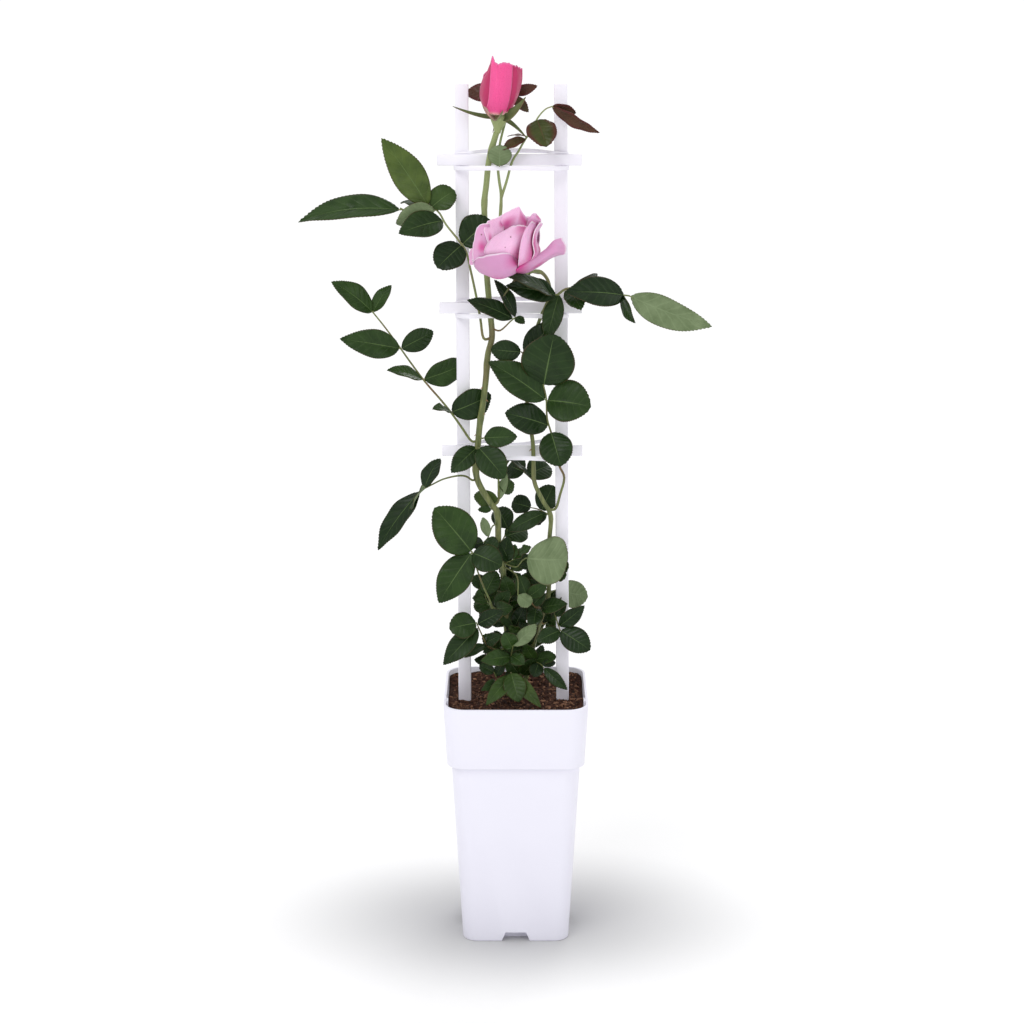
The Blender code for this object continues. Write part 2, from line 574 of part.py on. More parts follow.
# Compound leaves: name, carrier, stalk radius, stalk points, then leaflets as
# (share along the stalk, tip, width, roll in degrees), in millimetres
LEAVES = (
    (
        "leaf_upper_left", "cane_left", 1.2,
        [(-27, -12, 591), (-31, -14, 605), (-34, -14, 624), (-38, -14, 646), (-43, -16, 670),
         (-47, -16, 687), (-54, -15, 698), (-66, -14, 713), (-74, -15, 726), (-87, -16, 730),
         (-102, -17, 726), (-109, -18, 729)],
        [(1.0, (-207, -8, 719), 32, 25), (0.84, (-125, -25, 794), 32, 0), (0.82, (-110, 14, 732), 21, 40),
         (0.83, (-58, -10, 745), 25, 0), (0.73, (-109, -46, 708), 28, 0), (0.8, (-112, -34, 716), 24, 115),
         (0.57, (-74, -34, 674), 30, 0), (0.57, (-35, -11, 714), 26, 0)],
    ),
    (
        "leaf_left", "cane_left", 1.1,
        [(-38, -14, 500), (-43, -15, 505), (-52, -16, 518), (-62, -14, 532), (-73, -10, 545),
         (-88, -7, 562), (-102, -6, 581), (-111, -6, 594), (-125, -8, 614), (-138, -10, 631)],
        [(1.0, (-173, -26, 661), 24, 15), (1.0, (-120, -2, 655), 16, -20),
         (0.72, (-166, -30, 607), 27, -15), (0.72, (-80, 10, 608), 21, 25),
         (0.5, (-123, -28, 576), 17, 30), (0.5, (-48, 15, 577), 26, 45), (0.25, (-79, -36, 541), 13, 35),
         (0.25, (-24, -3, 548), 29, 32)],
    ),
    (
        "leaf_lower_left", "cane_left", 1.0,
        [(-37, -13, 462), (-42, -15, 466), (-48, -16, 470), (-56, -17, 471), (-70, -18, 468),
         (-81, -20, 463), (-93, -22, 457)],
        [(1.0, (-134, -30, 400), 23, 25), (0.92, (-74, -6, 486), 19, -30), (0.92, (-99, -50, 447), 23, 78)],
    ),
    (
        "leaf_low_rung", "cane_left", 1.0,
        [(-37, -16, 498), (-37, -22, 499), (-36, -27, 501)],
        [(0.0, (-62, -34, 478), 21, 0), (1.0, (-11, -44, 475), 28, 0)],
    ),
    (
        "leaf_low_rung_right", "cane_left", 0.9,
        [(-35, -16, 506), (-33, -22, 509), (-30, -24, 510)],
        [(0.88, (1, -34, 513), 20, 10)],
    ),
    (
        "leaf_mid_rung", "cane_left", 0.9,
        [(-24, -13, 600), (-15, -18, 613), (-5, -25, 623), (0, -27, 627)],
        [(0.91, (-46, -33, 644), 19, 10), (1.0, (8, -40, 623), 8, 0), (1.0, (-20, -30, 663), 15, 30)],
    ),
    (
        "leaf_right", "cane_right", 1.2,
        [(30, -17, 642), (38, -22, 647), (47, -22, 653), (61, -20, 654), (77, -18, 651), (93, -17, 648),
         (108, -17, 646)],
        [(1.0, (188, -5, 615), 31, 180), (0.95, (46, -46, 653), 31, 0), (0.91, (111, -44, 624), 13, 60),
         (0.3, (80, 8, 663), 14, 50), (0.26, (61, -44, 637), 19, 0), (0.13, (-11, -78, 673), 20, 0),
         (0.1, (-9, -50, 660), 22, -10), (0.13, (29, -29, 605), 19, 0)],
    ),
    (
        "leaf_centre_upper", "cane_right", 0.9,
        [(13, -11, 586), (8, -18, 590), (5, -21, 593)],
        [(0.77, (39, -18, 622), 23, 0), (1.0, (-24, -18, 595), 21, -28)],
    ),
    (
        "leaf_centre", "cane_right", 1.2,
        [(36, -8, 431), (39, -10, 437), (43, -12, 451), (47, -12, 468), (42, -11, 480), (37, -12, 500),
         (34, -14, 513), (30, -18, 528), (29, -21, 548), (26, -22, 562)],
        [(1.0, (36, -34, 612), 51, 0), (0.88, (-25, -28, 585), 32, 0), (0.88, (71, -36, 543), 42, 0),
         (0.69, (-11, -30, 535), 30, 0), (0.64, (43, -30, 483), 32, 0)],
    ),
    (
        "leaf_back_low", "cane_right", 0.8,
        [(21, -8, 461), (14, 2, 465), (8, 8, 469)],
        [(1.0, (-7, 20, 473), 26, 0), (0.79, (33, 22, 473), 26, 0), (0.49, (-7, -4, 485), 9, 60)],
    ),
    (
        "leaf_fork", "cane_right", 0.8,
        [(32, -4, 426), (27, 4, 430), (21, 8, 432), (14, 10, 433)],
        [(0.96, (-4, 18, 436), 19, 0), (0.38, (-8, -6, 413), 17, 0), (0.24, (18, 12, 417), 12, 0),
         (0.57, (37, 16, 454), 24, 0)],
    ),
    (
        "leaf_round_left", "cane_left", 1.1,
        [(-16, 4, 298), (-20, -4, 322), (-25, -12, 342), (-31, -18, 358), (-37, -24, 376), (-43, -30, 399)],
        [(1.0, (-79, -34, 443), 42, 0), (0.99, (-75, -44, 351), 32, 0), (0.98, (-14, -40, 387), 28, 0)],
    ),
    (
        "leaf_small_pale", "cane_left", 0.7,
        [(-20, -7, 426), (-23, -11, 419), (-27, -14, 409), (-32, -17, 404)],
        [(0.73, (-32, -20, 430), 9, 180), (1.0, (-43, -22, 403), 12, 0), (0.98, (-18, -18, 398), 18, 0)],
    ),
    (
        "leaf_small_left", "cane_left", 0.6,
        [(-21, -8, 434), (-24, -12, 436)],
        [(1.0, (-37, -16, 437), 7, 0)],
    ),
    (
        "shoot_centre", "cane_left", 1.3,
        [(-17, -5, 432), (-17, -6, 444), (-17, -5, 462), (-16, -4, 478)],
        [(0.22, (-41, 6, 445), 17, -28), (0.2, (-9, -10, 472), 8, 180), (1.0, (-10, 4, 490), 14, 0),
         (0.61, (-2, 6, 451), 15, 0)],
    ),
    (
        "leaf_node", "cane_left", 0.8,
        [(-8, 1, 373), (-3, -6, 377), (2, -12, 379), (6, -18, 386), (10, -22, 390)],
        [(1.0, (51, -52, 396), 48, 180), (0.05, (-8, -8, 407), 18, 0), (0.63, (15, -10, 377), 7, 0)],
    ),
    (
        "stalk_hanging", "cane_left", 0.8,
        [(-6, -4, 372), (-2, -10, 372), (2, -15, 366), (2, -18, 351)],
        [(1.0, (15, -26, 343), 14, 180)],
    ),
    (
        "leaf_behind_right", "cane_right", 0.8,
        [(34, 6, 351), (39, 11, 348), (44, 14, 347)],
        [(0.82, (72, 16, 340), 28, 180), (0.65, (33, 28, 327), 16, 0)],
    ),
    (
        "leaf_low_right", "cane_right", 0.9,
        [(34, 2, 344), (37, -6, 335), (40, -12, 325), (44, -16, 314)],
        [(1.0, (73, -26, 297), 25, 0), (0.88, (67, -22, 341), 16, 20), (1.0, (21, -28, 307), 17, 0),
         (0.6, (50, -16, 342), 9, 0)],
    ),
    (
        "leaf_low_left", "cane_left", 0.9,
        [(-9, 11, 281), (-18, 2, 289), (-28, -8, 296), (-34, -16, 311), (-39, -20, 324)],
        [(1.0, (-65, -28, 320), 26, 0), (0.9, (-71, -36, 285), 23, 0), (0.96, (-12, -26, 337), 16, 0),
         (0.57, (-15, -22, 311), 13, 0), (0.52, (-50, -28, 291), 10, 20)],
    ),
    (
        "leaf_low_middle", "cane_left", 0.8,
        [(-6, 9, 273), (-5, -2, 282), (-4, -12, 291), (-3, -18, 299)],
        [(1.0, (21, -26, 324), 14, 180), (0.91, (-11, -24, 314), 17, 0), (0.49, (-35, -30, 287), 17, 0),
         (0.56, (8, -20, 281), 14, 0)],
    ),
    (
        "leaf_crown_left", "cane_left", 0.7,
        [(-12, 6, 321), (-20, -2, 333), (-28, 0, 339), (-31, 4, 346)],
        [(1.0, (-19, 6, 369), 20, 0), (0.76, (-42, -4, 342), 7, 0), (0.42, (-6, -12, 354), 15, 0),
         (0.42, (-4, -18, 339), 15, 30)],
    ),
    (
        "leaf_crown_right", "cane_right", 0.8,
        [(27, 5, 323), (20, -3, 334), (14, -6, 343), (10, -8, 349)],
        [(1.0, (3, -6, 368), 15, 0), (0.88, (30, -14, 362), 14, 20), (0.58, (29, -12, 351), 12, 0),
         (0.41, (17, -20, 318), 16, 0), (0.21, (50, -24, 344), 16, 0)],
    ),
    (
        "leaf_soil_left", "cane_left", 0.7,
        [(-5, 10, 249), (-10, 0, 242), (-16, -10, 257), (-22, -14, 271)],
        [(1.0, (-36, -14, 278), 12, 0), (0.73, (-34, -34, 258), 11, 0), (0.89, (-12, -13, 281), 10, 0)],
    ),
    (
        "leaf_soil_front", "cane_left", 0.8,
        [(-3, 9, 252), (-3, -6, 264), (-5, -16, 271)],
        [(1.0, (3, -34, 246), 22, 0), (0.8, (-29, -42, 246), 16, 0), (0.8, (25, -40, 242), 14, 0)],
    ),
    (
        "leaf_soil_right", "cane_right", 0.7,
        [(14, 14, 266), (20, 6, 275), (25, -2, 275), (28, -8, 273)],
        [(1.0, (51, -22, 255), 12, 15), (0.76, (40, 4, 275), 8, 0), (0.58, (18, -12, 265), 14, 0)],
    ),
    (
        "leaf_back_right", "cane_right", 0.8,
        [(20, 16, 299), (25, 24, 303), (31, 32, 309)],
        [(1.0, (45, 44, 324), 26, 0), (0.68, (15, 46, 309), 22, 0), (0.88, (51, 36, 299), 22, 0)],
    ),
    (
        "leaf_back_left", "cane_left", 0.8,
        [(-9, 16, 309), (-16, 26, 315), (-23, 34, 321)],
        [(1.0, (-38, 44, 333), 26, 0), (0.81, (-2, 46, 332), 24, 0), (0.81, (-36, 40, 307), 22, 0)],
    ),
    (
        "leaf_back_middle", "cane_left", 0.8,
        [(-15, 5, 395), (-12, 14, 401), (-8, 22, 409)],
        [(1.0, (-18, 34, 427), 22, 0), (0.63, (12, 34, 404), 22, 0)],
    ),
    (
        "leaf_young_right", "shoot_top", 0.9,
        [(3, -14, 782), (9, -14, 793), (16, -14, 803), (20, -15, 812), (27, -16, 820), (34, -16, 823)],
        [(0.64, (24, -34, 787), 28, 0), (1.0, (56, -14, 817), 13, 50), (1.0, (78, -26, 800), 13, 60),
         (0.26, (-13, -24, 784), 11, 20), (0.3, (-8, -6, 795), 8, 60)],
    ),
    (
        "leaf_young_left", "shoot_top", 0.8,
        [(-9, -5, 817), (-4.9, 4.6, 831.2), (-4, 6, 834)],
        [(1.0, (20, 6, 841), 10, 30), (0.68, (12, 4, 817), 10, 0), (0.75, (-45, 16, 835), 17, 0)],
    ),
    (
        "leaf_top_rung", "shoot_top", 0.8,
        [(-16, -16, 781), (-17, -19, 783), (-16, -22, 785)],
        [(1.0, (-15, -25, 767), 23, 180)],
    ),
)


def petal_surface(spot, axis, azimuth, open_low, open_high, length, width, ragged, columns, rows):
    """A cupped petal that leaves the axis at one angle and ends at another."""
    side = Vector((1, 0, 0))
    side = (side - side.dot(axis) * axis).normalized()
    out = Matrix.Rotation(math.radians(azimuth), 3, axis) @ side
    steps = 24
    centre = [(0.0, 2.5 * MM)]
    for i in range(steps):
        angle = math.radians(open_low + (open_high - open_low) * (i + 0.5) / steps)
        rise, reach = centre[-1]
        centre.append((rise + length / steps * math.cos(angle), reach + length / steps * math.sin(angle)))

    def place(u, v):
        column = round((u + 1) / 2 * columns)
        reached = v * (1 - 0.16 * u * u) - (ragged * (column % 2) if v > 0.99 else 0)
        spot_index = max(0.0, min(1.0, reached)) * steps
        low = min(int(spot_index), steps - 1)
        rise, reach = (
            centre[low][k] + (centre[low + 1][k] - centre[low][k]) * (spot_index - low) for k in range(2)
        )
        half = width / 2 * (0.22 + 0.78 * math.sin(math.pi * min(1, v * 0.62 + 0.06)) ** 0.9)
        turn = u * half / max(abs(reach), 0.36 * width)
        rim = Matrix.Rotation(turn, 3, axis) @ out
        return spot + axis * (rise + PETAL) + rim * reach

    return sheet_surface(columns, rows, place)


def petals(name, spot, axis, rings, core, ragged, look, collection):
    """All petals of one flower, fused to a small inner core."""
    bm = bmesh.new()
    bmesh.ops.create_uvsphere(bm, u_segments=8, v_segments=6, radius=1)
    bmesh.ops.scale(bm, vec=(core[0], core[0], core[1]), verts=bm.verts)
    turn = axis.to_track_quat("Z", "Y").to_matrix().to_4x4()
    bm.transform(Matrix.Translation(spot + axis * core[1]) @ turn)
    body = object_from_bmesh(name, bm, look, collection)
    made = []
    for azimuth, open_low, open_high, length, width in rings:
        surface = petal_surface(
            spot, axis, azimuth, open_low, open_high, length * MM, width * MM, ragged, columns=3, rows=3
        )
        made.append(solid_sheet(surface, "petal", PETAL, look, collection))
    return combine(body, made)


def calyx(name, spot, axis, hip, sepals, look, collection):
    """The swollen hip under a flower, a turned solid, with its thin sepals."""
    radius, height, neck = hip
    bulge = ((0.86, 0.0), (1.0, -0.18), (0.74, -0.5))
    profile = [(0, 0)] + [(radius * out, height * down) for out, down in bulge]
    profile += [(neck, -height), (0, -height)]
    bm = bmesh.new()
    line = [bm.verts.new((r, 0, z)) for r, z in profile]
    for a, b in zip(line, line[1:]):
        bm.edges.new((a, b))
    outline = bm.verts[:] + bm.edges[:]
    axle = (0, 0, 1)
    bmesh.ops.spin(bm, geom=outline, cent=(0, 0, 0), axis=axle, angle=2 * math.pi, steps=8, use_merge=True)
    bmesh.ops.remove_doubles(bm, verts=bm.verts, dist=0.01 * MM)
    bmesh.ops.recalc_face_normals(bm, faces=bm.faces)
    turn = axis.to_track_quat("Z", "Y").to_matrix().to_4x4()
    bm.transform(Matrix.Translation(spot - axis * GAP) @ turn)
    body = object_from_bmesh(name, bm, look, collection)
    blades = []
    for middle, tip, width in sepals:
        start = spot - axis * (GAP + 2.2 * MM)
        route = [start] + points_mm([middle, tip])
        blades.append(sepal(route, width * MM, look, collection))
    return combine(body, blades)


def sepal(route, width, look, collection):
    """A narrow pointed blade bent through three points."""
    forward = (route[2] - route[0]).normalized()
    up = (FACING - FACING.dot(forward) * forward).normalized()
    across = up.cross(forward)

    def place(u, v):
        bend = route[0] * (1 - v) ** 2 + route[1] * 2 * v * (1 - v) + route[2] * v * v
        half = width / 2 * min(1.0, 0.4 + 2 * v) * (1 - v) ** 0.7 if v < 0.99 else 0.0
        return bend + across * (u * half) + up * (abs(u) * half * 0.2)

    return solid_sheet(sheet_surface(2, 4, place), "sepal", BLADE, look, collection)


# Flowers: where the petals start, the way the flower points, and its petals as
# (azimuth, opening at the base, opening at the rim, length, width), in degrees and millimetres
BLOOM_SPOT = Vector((6.5, -41, 675)) * MM
BLOOM_AXIS = Vector((-0.64, -0.22, 0.74)).normalized()
BLOOM_PETALS = (
    (30, 32, -22, 50, 36),
    (150, 32, -22, 50, 36),
    (270, 32, -22, 50, 36),
    (85, 55, -20, 58, 50),
    (205, 55, -24, 58, 50),
    (325, 55, -24, 60, 50),
    (180, 74, -12, 58, 48),
    (100, 70, -8, 62, 50),
    (290, 70, -26, 62, 54),
    (10, 70, -18, 60, 44),
    (245, 84, 12, 40, 50),
    (350, 84, 96, 58, 36),
)
BLOOM_CORE = (11 * MM, 20 * MM)
BLOOM_HIP = (6.5 * MM, 6 * MM, 1.8 * MM)
BUD_SPOT = Vector((-15.5, -13, 815)) * MM
BUD_AXIS = Vector((0.12, 0, 1)).normalized()
BUD_PETALS = (
    (60, 32, -22, 50, 36),
    (180, 32, -20, 56, 36),
    (300, 32, -22, 51, 36),
    (245, 56, -22, 51, 46),
    (5, 54, -18, 51, 44),
    (125, 54, -18, 49, 44),
)
BUD_CORE = (9 * MM, 19 * MM)
BUD_HIP = (6.8 * MM, 15.5 * MM, 2.1 * MM)


def make_flowers(collection):
    petals("bloom_petals", BLOOM_SPOT, BLOOM_AXIS, BLOOM_PETALS, BLOOM_CORE, 0.0, ORCHID_PINK, collection)
    bloom_sepals = (
        ((14, -30, 665), (18, -16, 653), 4),
        ((-4, -40, 661), (-12, -44, 649), 4),
        ((18, -12, 677), (26, 0, 691), 4),
    )
    calyx("bloom_calyx", BLOOM_SPOT, BLOOM_AXIS, BLOOM_HIP, bloom_sepals, STEM_GREEN, collection)
    petals("bud_petals", BUD_SPOT, BUD_AXIS, BUD_PETALS, BUD_CORE, 0.08, HOT_PINK, collection)
    bud_sepals = (
        ((-34, -14, 810), (-57, -17, 822), 4),
        ((-4, -24, 815), (7, -28, 830), 7),
        ((-4, -16, 810), (10, -20, 794), 5),
        ((-18, 2, 810), (-22, 16, 797), 5),
    )
    calyx("bud_calyx", BUD_SPOT, BUD_AXIS, BUD_HIP, bud_sepals, STEM_GREEN, collection)


def main():
    clear_scene()
    collection = new_collection("climbing_rose")
    cutters = new_collection("cutters")
    make_pot(collection)
    upright_holes = make_trellis(collection, cutters)
    stem_holes = make_canes(collection, cutters)
    make_soil(collection, upright_holes, stem_holes)
    for name, carrier, radius, stalk, leaflets in LEAVES:
        young = name.startswith("leaf_young")
        leaf(name, carrier, radius, stalk, leaflets, collection, YOUNG_LEAF if young else LEAF_GREEN)
    make_flowers(collection)
    bpy.data.collections.remove(cutters)


main()
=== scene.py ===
# %% [markdown]
# # A climbing rose on its white trellis
#
# The real object is a young rose in a tall square pot. Two long canes climb a narrow ladder of white
# plastic, one ends in a tight pink bud and the other in an open orchid pink bloom.
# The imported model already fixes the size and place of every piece, so this lesson only has to give
# each piece its true surface: toothed leaves with veins, cupped petals, knobbly canes, crumbly soil.

# %% Load the frame and keep its size
import json
import math
import random

import bmesh
import bpy
from mathutils import Matrix, Vector, noise

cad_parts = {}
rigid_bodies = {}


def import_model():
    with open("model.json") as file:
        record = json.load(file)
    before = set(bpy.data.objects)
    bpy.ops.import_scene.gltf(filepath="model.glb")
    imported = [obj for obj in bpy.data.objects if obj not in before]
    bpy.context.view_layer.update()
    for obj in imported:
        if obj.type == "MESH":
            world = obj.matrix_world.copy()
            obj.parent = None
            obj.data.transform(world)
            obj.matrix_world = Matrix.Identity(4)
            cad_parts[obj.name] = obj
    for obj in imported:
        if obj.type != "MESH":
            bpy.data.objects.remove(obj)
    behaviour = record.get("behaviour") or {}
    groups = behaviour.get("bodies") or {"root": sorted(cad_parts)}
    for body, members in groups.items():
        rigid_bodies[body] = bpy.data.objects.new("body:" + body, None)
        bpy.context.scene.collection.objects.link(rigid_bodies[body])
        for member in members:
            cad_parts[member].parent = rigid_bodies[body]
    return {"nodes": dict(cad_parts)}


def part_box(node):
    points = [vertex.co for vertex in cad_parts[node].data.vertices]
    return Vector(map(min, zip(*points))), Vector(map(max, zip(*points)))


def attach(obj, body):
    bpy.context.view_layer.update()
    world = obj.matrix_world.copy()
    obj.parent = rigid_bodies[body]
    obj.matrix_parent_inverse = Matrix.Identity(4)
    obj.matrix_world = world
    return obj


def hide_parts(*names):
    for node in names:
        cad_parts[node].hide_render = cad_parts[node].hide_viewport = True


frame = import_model()
MM = 0.001
noise.seed_set(1)  # else the noise vectors that ruffle the petals differ from run to run
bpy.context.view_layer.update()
print("nodes in the frame:", len(frame["nodes"]))


# %% [markdown]
# ## Camera
#
# The photograph looks slightly down on the rose from two metres, with a long lens that hardly bends
# the uprights. A pitch of 13.4 degrees shows the soil inside the rim, as in the picture.

# %% Camera at the photograph's angle
CAMERA_PLACE = Vector((-0.0038, -2.0, 0.908))
CAMERA_PITCH = math.radians(13.42)
FOCAL_PIXELS = 2094
IMAGE_PIXELS = 1024
SENSOR = 36.0

scene = bpy.context.scene
camera_data = bpy.data.cameras.new("camera")
camera_data.sensor_width = SENSOR
camera_data.lens = FOCAL_PIXELS * SENSOR / IMAGE_PIXELS
camera = bpy.data.objects.new("camera", camera_data)
camera.location = CAMERA_PLACE
camera.rotation_euler = (math.pi / 2 - CAMERA_PITCH, 0, 0)
scene.collection.objects.link(camera)
scene.camera = camera
scene.view_settings.view_transform = "Standard"
print("lens, in millimetres:", round(camera_data.lens, 1))

# %% [markdown]
# ## Studio
#
# The picture is a bright catalogue shot: a white floor that melts into a white backdrop, a soft
# shadow close round the pot, and light from all sides with a little more from above and the left.
# One curved sheet is both floor and backdrop, so no horizon shows. Its paint, which holds a painted shadow
# round the pot, comes after the shader tools.

# %% Floor that curves up into a backdrop
FLOOR_SIDE = 9.0
BACKDROP_START = 3.2
BACKDROP_RADIUS = 1.2


def backdrop_point(across, along):
    """Floor in front, a quarter circle, then a wall; along runs from 0 to 1."""
    flat, arc, wall = FLOOR_SIDE / 2 + BACKDROP_START, BACKDROP_RADIUS * math.pi / 2, 3.0
    run = along * (flat + arc + wall)
    if run < flat:
        return Vector((across, run - FLOOR_SIDE / 2, 0))
    angle = min(run - flat, arc) / BACKDROP_RADIUS
    y = BACKDROP_START + BACKDROP_RADIUS * math.sin(angle)
    return Vector((across, y, BACKDROP_RADIUS * (1 - math.cos(angle)) + max(0, run - flat - arc)))


bm = bmesh.new()
bmesh.ops.create_grid(bm, x_segments=2, y_segments=90, size=1)
for vertex in bm.verts:
    vertex.co = backdrop_point(vertex.co.x * FLOOR_SIDE / 2, (vertex.co.y + 1) / 2)
floor_mesh = bpy.data.meshes.new("floor")
bm.to_mesh(floor_mesh)
bm.free()
floor_mesh.shade_smooth()
floor = bpy.data.objects.new("floor", floor_mesh)
scene.collection.objects.link(floor)

# %% Sky light and lamps
# The floor's paint holds a painted shadow round the pot: a grey pool, wider side to side than front to back,
# where the floor also glows less.
FLOOR_WHITE, PAINTED_SHADOW_GREY = (0.86, 0.86, 0.865), (0.52, 0.52, 0.525)
PAINTED_SHADOW_SHAPE = (1.0, 1.5, 1.0)  # the pool is wider than deep
PAINTED_SHADOW_START, PAINTED_SHADOW_REACH, GLOW_OUTSIDE_PAINTED_SHADOW = 0.02, 0.32, 0.16  # distances from the pot, and added glow
PAPER_START, PAPER_END, PAPER_GLOW = 0.2, 1.3, 0.88
SKY_STRENGTH = 0.78

world = bpy.data.worlds.new("studio")
world.use_nodes = True
background = world.node_tree.nodes["Background"]
background.inputs["Color"].default_value = (1, 1, 1, 1)
rays = world.node_tree.nodes.new("ShaderNodeLightPath")
strength = world.node_tree.nodes.new("ShaderNodeMath")
strength.operation = "MULTIPLY_ADD"  # full white where the camera sees the sky, weaker as light
world.node_tree.links.new(rays.outputs["Is Camera Ray"], strength.inputs[0])
strength.inputs[1].default_value = 1 - SKY_STRENGTH
strength.inputs[2].default_value = SKY_STRENGTH
world.node_tree.links.new(strength.outputs["Value"], background.inputs["Strength"])
scene.world = world


def soft_lamp(name, place, aim, side, power):
    """A square area lamp that points at a spot."""
    data = bpy.data.lights.new(name, "AREA")
    data.size = side
    data.energy = power
    lamp = bpy.data.objects.new(name, data)
    lamp.location = place
    lamp.rotation_euler = (Vector(aim) - Vector(place)).to_track_quat("-Z", "Y").to_euler()
    scene.collection.objects.link(lamp)


soft_lamp("key", (-0.9, -1.5, 2.2), (0, 0, 0.5), 1.3, 16)
soft_lamp("fill", (1.6, -1.6, 1.0), (0, 0, 0.45), 1.2, 4)
soft_lamp("rim", (0.5, 1.7, 1.9), (0, 0, 0.6), 0.9, 8)

# %% [markdown]
# ## Shader tools
#
# Every finish below is a Principled shader fed by small node trees. Three effects are used by more
# than one material, so each is a node group: soft mottling, the veins of a blade, and the marks of a
# petal. The blade and petal groups read the UV map that each blade's own grid carries: x runs across
# it and y from root to tip, so a pattern follows every bend of the surface.

# %% Node helpers
def new_node(tree, kind, **settings):
    """Adds a shader node and sets what the keywords name, such as its operation."""
    node = tree.nodes.new("ShaderNode" + kind)
    for label, value in settings.items():
        setattr(node, label, value)
    return node


def feed(tree, socket, value):
    """Links a socket to another socket, or sets it to a number, vector or colour."""
    if isinstance(value, bpy.types.NodeSocket):
        tree.links.new(value, socket)
    elif socket.type == "RGBA":
        socket.default_value = (*value, 1)
    else:
        socket.default_value = value


def plug(tree, node, **values):
    """Feeds a node's inputs by name; underscores in a keyword stand for spaces."""
    for label, value in values.items():
        feed(tree, node.inputs[label.replace("_", " ")], value)


def sums(tree, operation, *values, kind="Math", result="Value"):
    """A Math or Vector Math node on numbers or sockets; returns its result."""
    node = new_node(tree, kind, operation=operation)
    for socket, value in zip(node.inputs, values):
        feed(tree, socket, value)
    return node.outputs[result]


def ramp(tree, value, low, high, start=0.0, end=1.0):
    """Maps a value smoothly from low..high to start..end."""
    node = new_node(tree, "MapRange", interpolation_type="SMOOTHSTEP")
    plug(tree, node, Value=value, From_Min=low, From_Max=high, To_Min=start, To_Max=end)
    return node.outputs["Result"]


def blend_colours(tree, share, first, second, weight=None, method="MIX"):
    """Mixes two colours by a share, which a weight can lower."""
    if weight is not None:
        share = sums(tree, "MULTIPLY", share, weight)
    node = new_node(tree, "Mix", data_type="RGBA", blend_type=method)
    for index, value in ((0, share), (6, first), (7, second)):
        feed(tree, node.inputs[index], value)
    return node.outputs[2]


def object_place(tree, stretch=(1, 1, 1)):
    """Object coordinates, with each axis stretched by its own number."""
    place = new_node(tree, "TexCoord").outputs["Object"]
    return sums(tree, "MULTIPLY", place, stretch, kind="VectorMath", result="Vector")


def distance_from(tree, centre, stretch):
    """Distance from a place, in stretched coordinates."""
    centre = Vector(centre) * Vector(stretch)
    return sums(tree, "DISTANCE", object_place(tree, stretch), centre, kind="VectorMath")


def axes(tree, vector):
    """The x, y and z of a vector."""
    node = new_node(tree, "SeparateXYZ")
    plug(tree, node, Vector=vector)
    return node.outputs


def carried(tree, name):
    """A number that each point of a mesh carries."""
    return new_node(tree, "Attribute", attribute_name=name).outputs["Fac"]


def noise_value(tree, scale, detail=3.0, vector=None, distortion=0.0):
    """Noise on Object coordinates, or on a vector that is given."""
    if vector is None:
        vector = new_node(tree, "TexCoord").outputs["Object"]
    node = new_node(tree, "TexNoise")
    plug(tree, node, Vector=vector, Scale=scale, Detail=detail, Distortion=distortion)
    return node.outputs["Fac"]


def new_group(name, inputs, outputs):
    """A node group, its inputs and its output node; a tuple or the name Colour means a colour."""
    group = bpy.data.node_groups.new(name, "ShaderNodeTree")
    for label, default in inputs.items():
        kind = "NodeSocketColor" if isinstance(default, tuple) else "NodeSocketFloat"
        socket = group.interface.new_socket(name=label, in_out="INPUT", socket_type=kind)
        socket.default_value = default
    for label in outputs:
        kind = "NodeSocketColor" if label == "Colour" else "NodeSocketFloat"
        group.interface.new_socket(name=label, in_out="OUTPUT", socket_type=kind)
    return group, group.nodes.new("NodeGroupInput").outputs, group.nodes.new("NodeGroupOutput")


def place_group(tree, group, **values):
    """Puts a node group in a tree, feeds it and returns its outputs."""
    node = new_node(tree, "Group", node_tree=group)
    plug(tree, node, **values)
    return node.outputs


def new_finish(name, **sockets):
    """A material with a Principled shader; returns the material, its tree and its shader."""
    material = bpy.data.materials.new(name)
    material.use_nodes = True
    shader = material.node_tree.nodes["Principled BSDF"]
    plug(material.node_tree, shader, **sockets)
    return material, material.node_tree, shader


def add_bump(tree, shader, height, strength, distance):
    """Bump from a height value into the shader's normal."""
    bump = new_node(tree, "Bump")
    plug(tree, bump, Height=height, Strength=strength, Distance=distance)
    plug(tree, shader, Normal=bump.outputs["Normal"])


# %% Group: soft mottling between two colours
mottle, given, result = new_group(
    "mottle", {"First": (1, 1, 1, 1), "Second": (0, 0, 0, 1), "Scale": 30.0, "Spread": 0.2}, ["Colour"]
)
wide = noise_value(mottle, given["Scale"], detail=4.0)
edges = [sums(mottle, side, 0.5, given["Spread"]) for side in ("SUBTRACT", "ADD")]
share = ramp(mottle, wide, *edges)
plug(mottle, result, Colour=blend_colours(mottle, share, given["First"], given["Second"]))

# %% Group: veins of a blade
VEIN_PAIRS, VEIN_SLANT, VEIN_BEND = 7.0, 0.22, 0.8  # the leaflets' quilting uses them too
VEIN_WIDTH = 0.16


def blade_place(tree):
    """Place across a blade, place along it and distance from its middle line, each from 0 to 1."""
    x, y, _ = axes(tree, new_node(tree, "TexCoord").outputs["UV"])
    from_middle = sums(tree, "ABSOLUTE", sums(tree, "SUBTRACT", sums(tree, "MULTIPLY", x, 2.0), 1.0))
    return x, y, from_middle


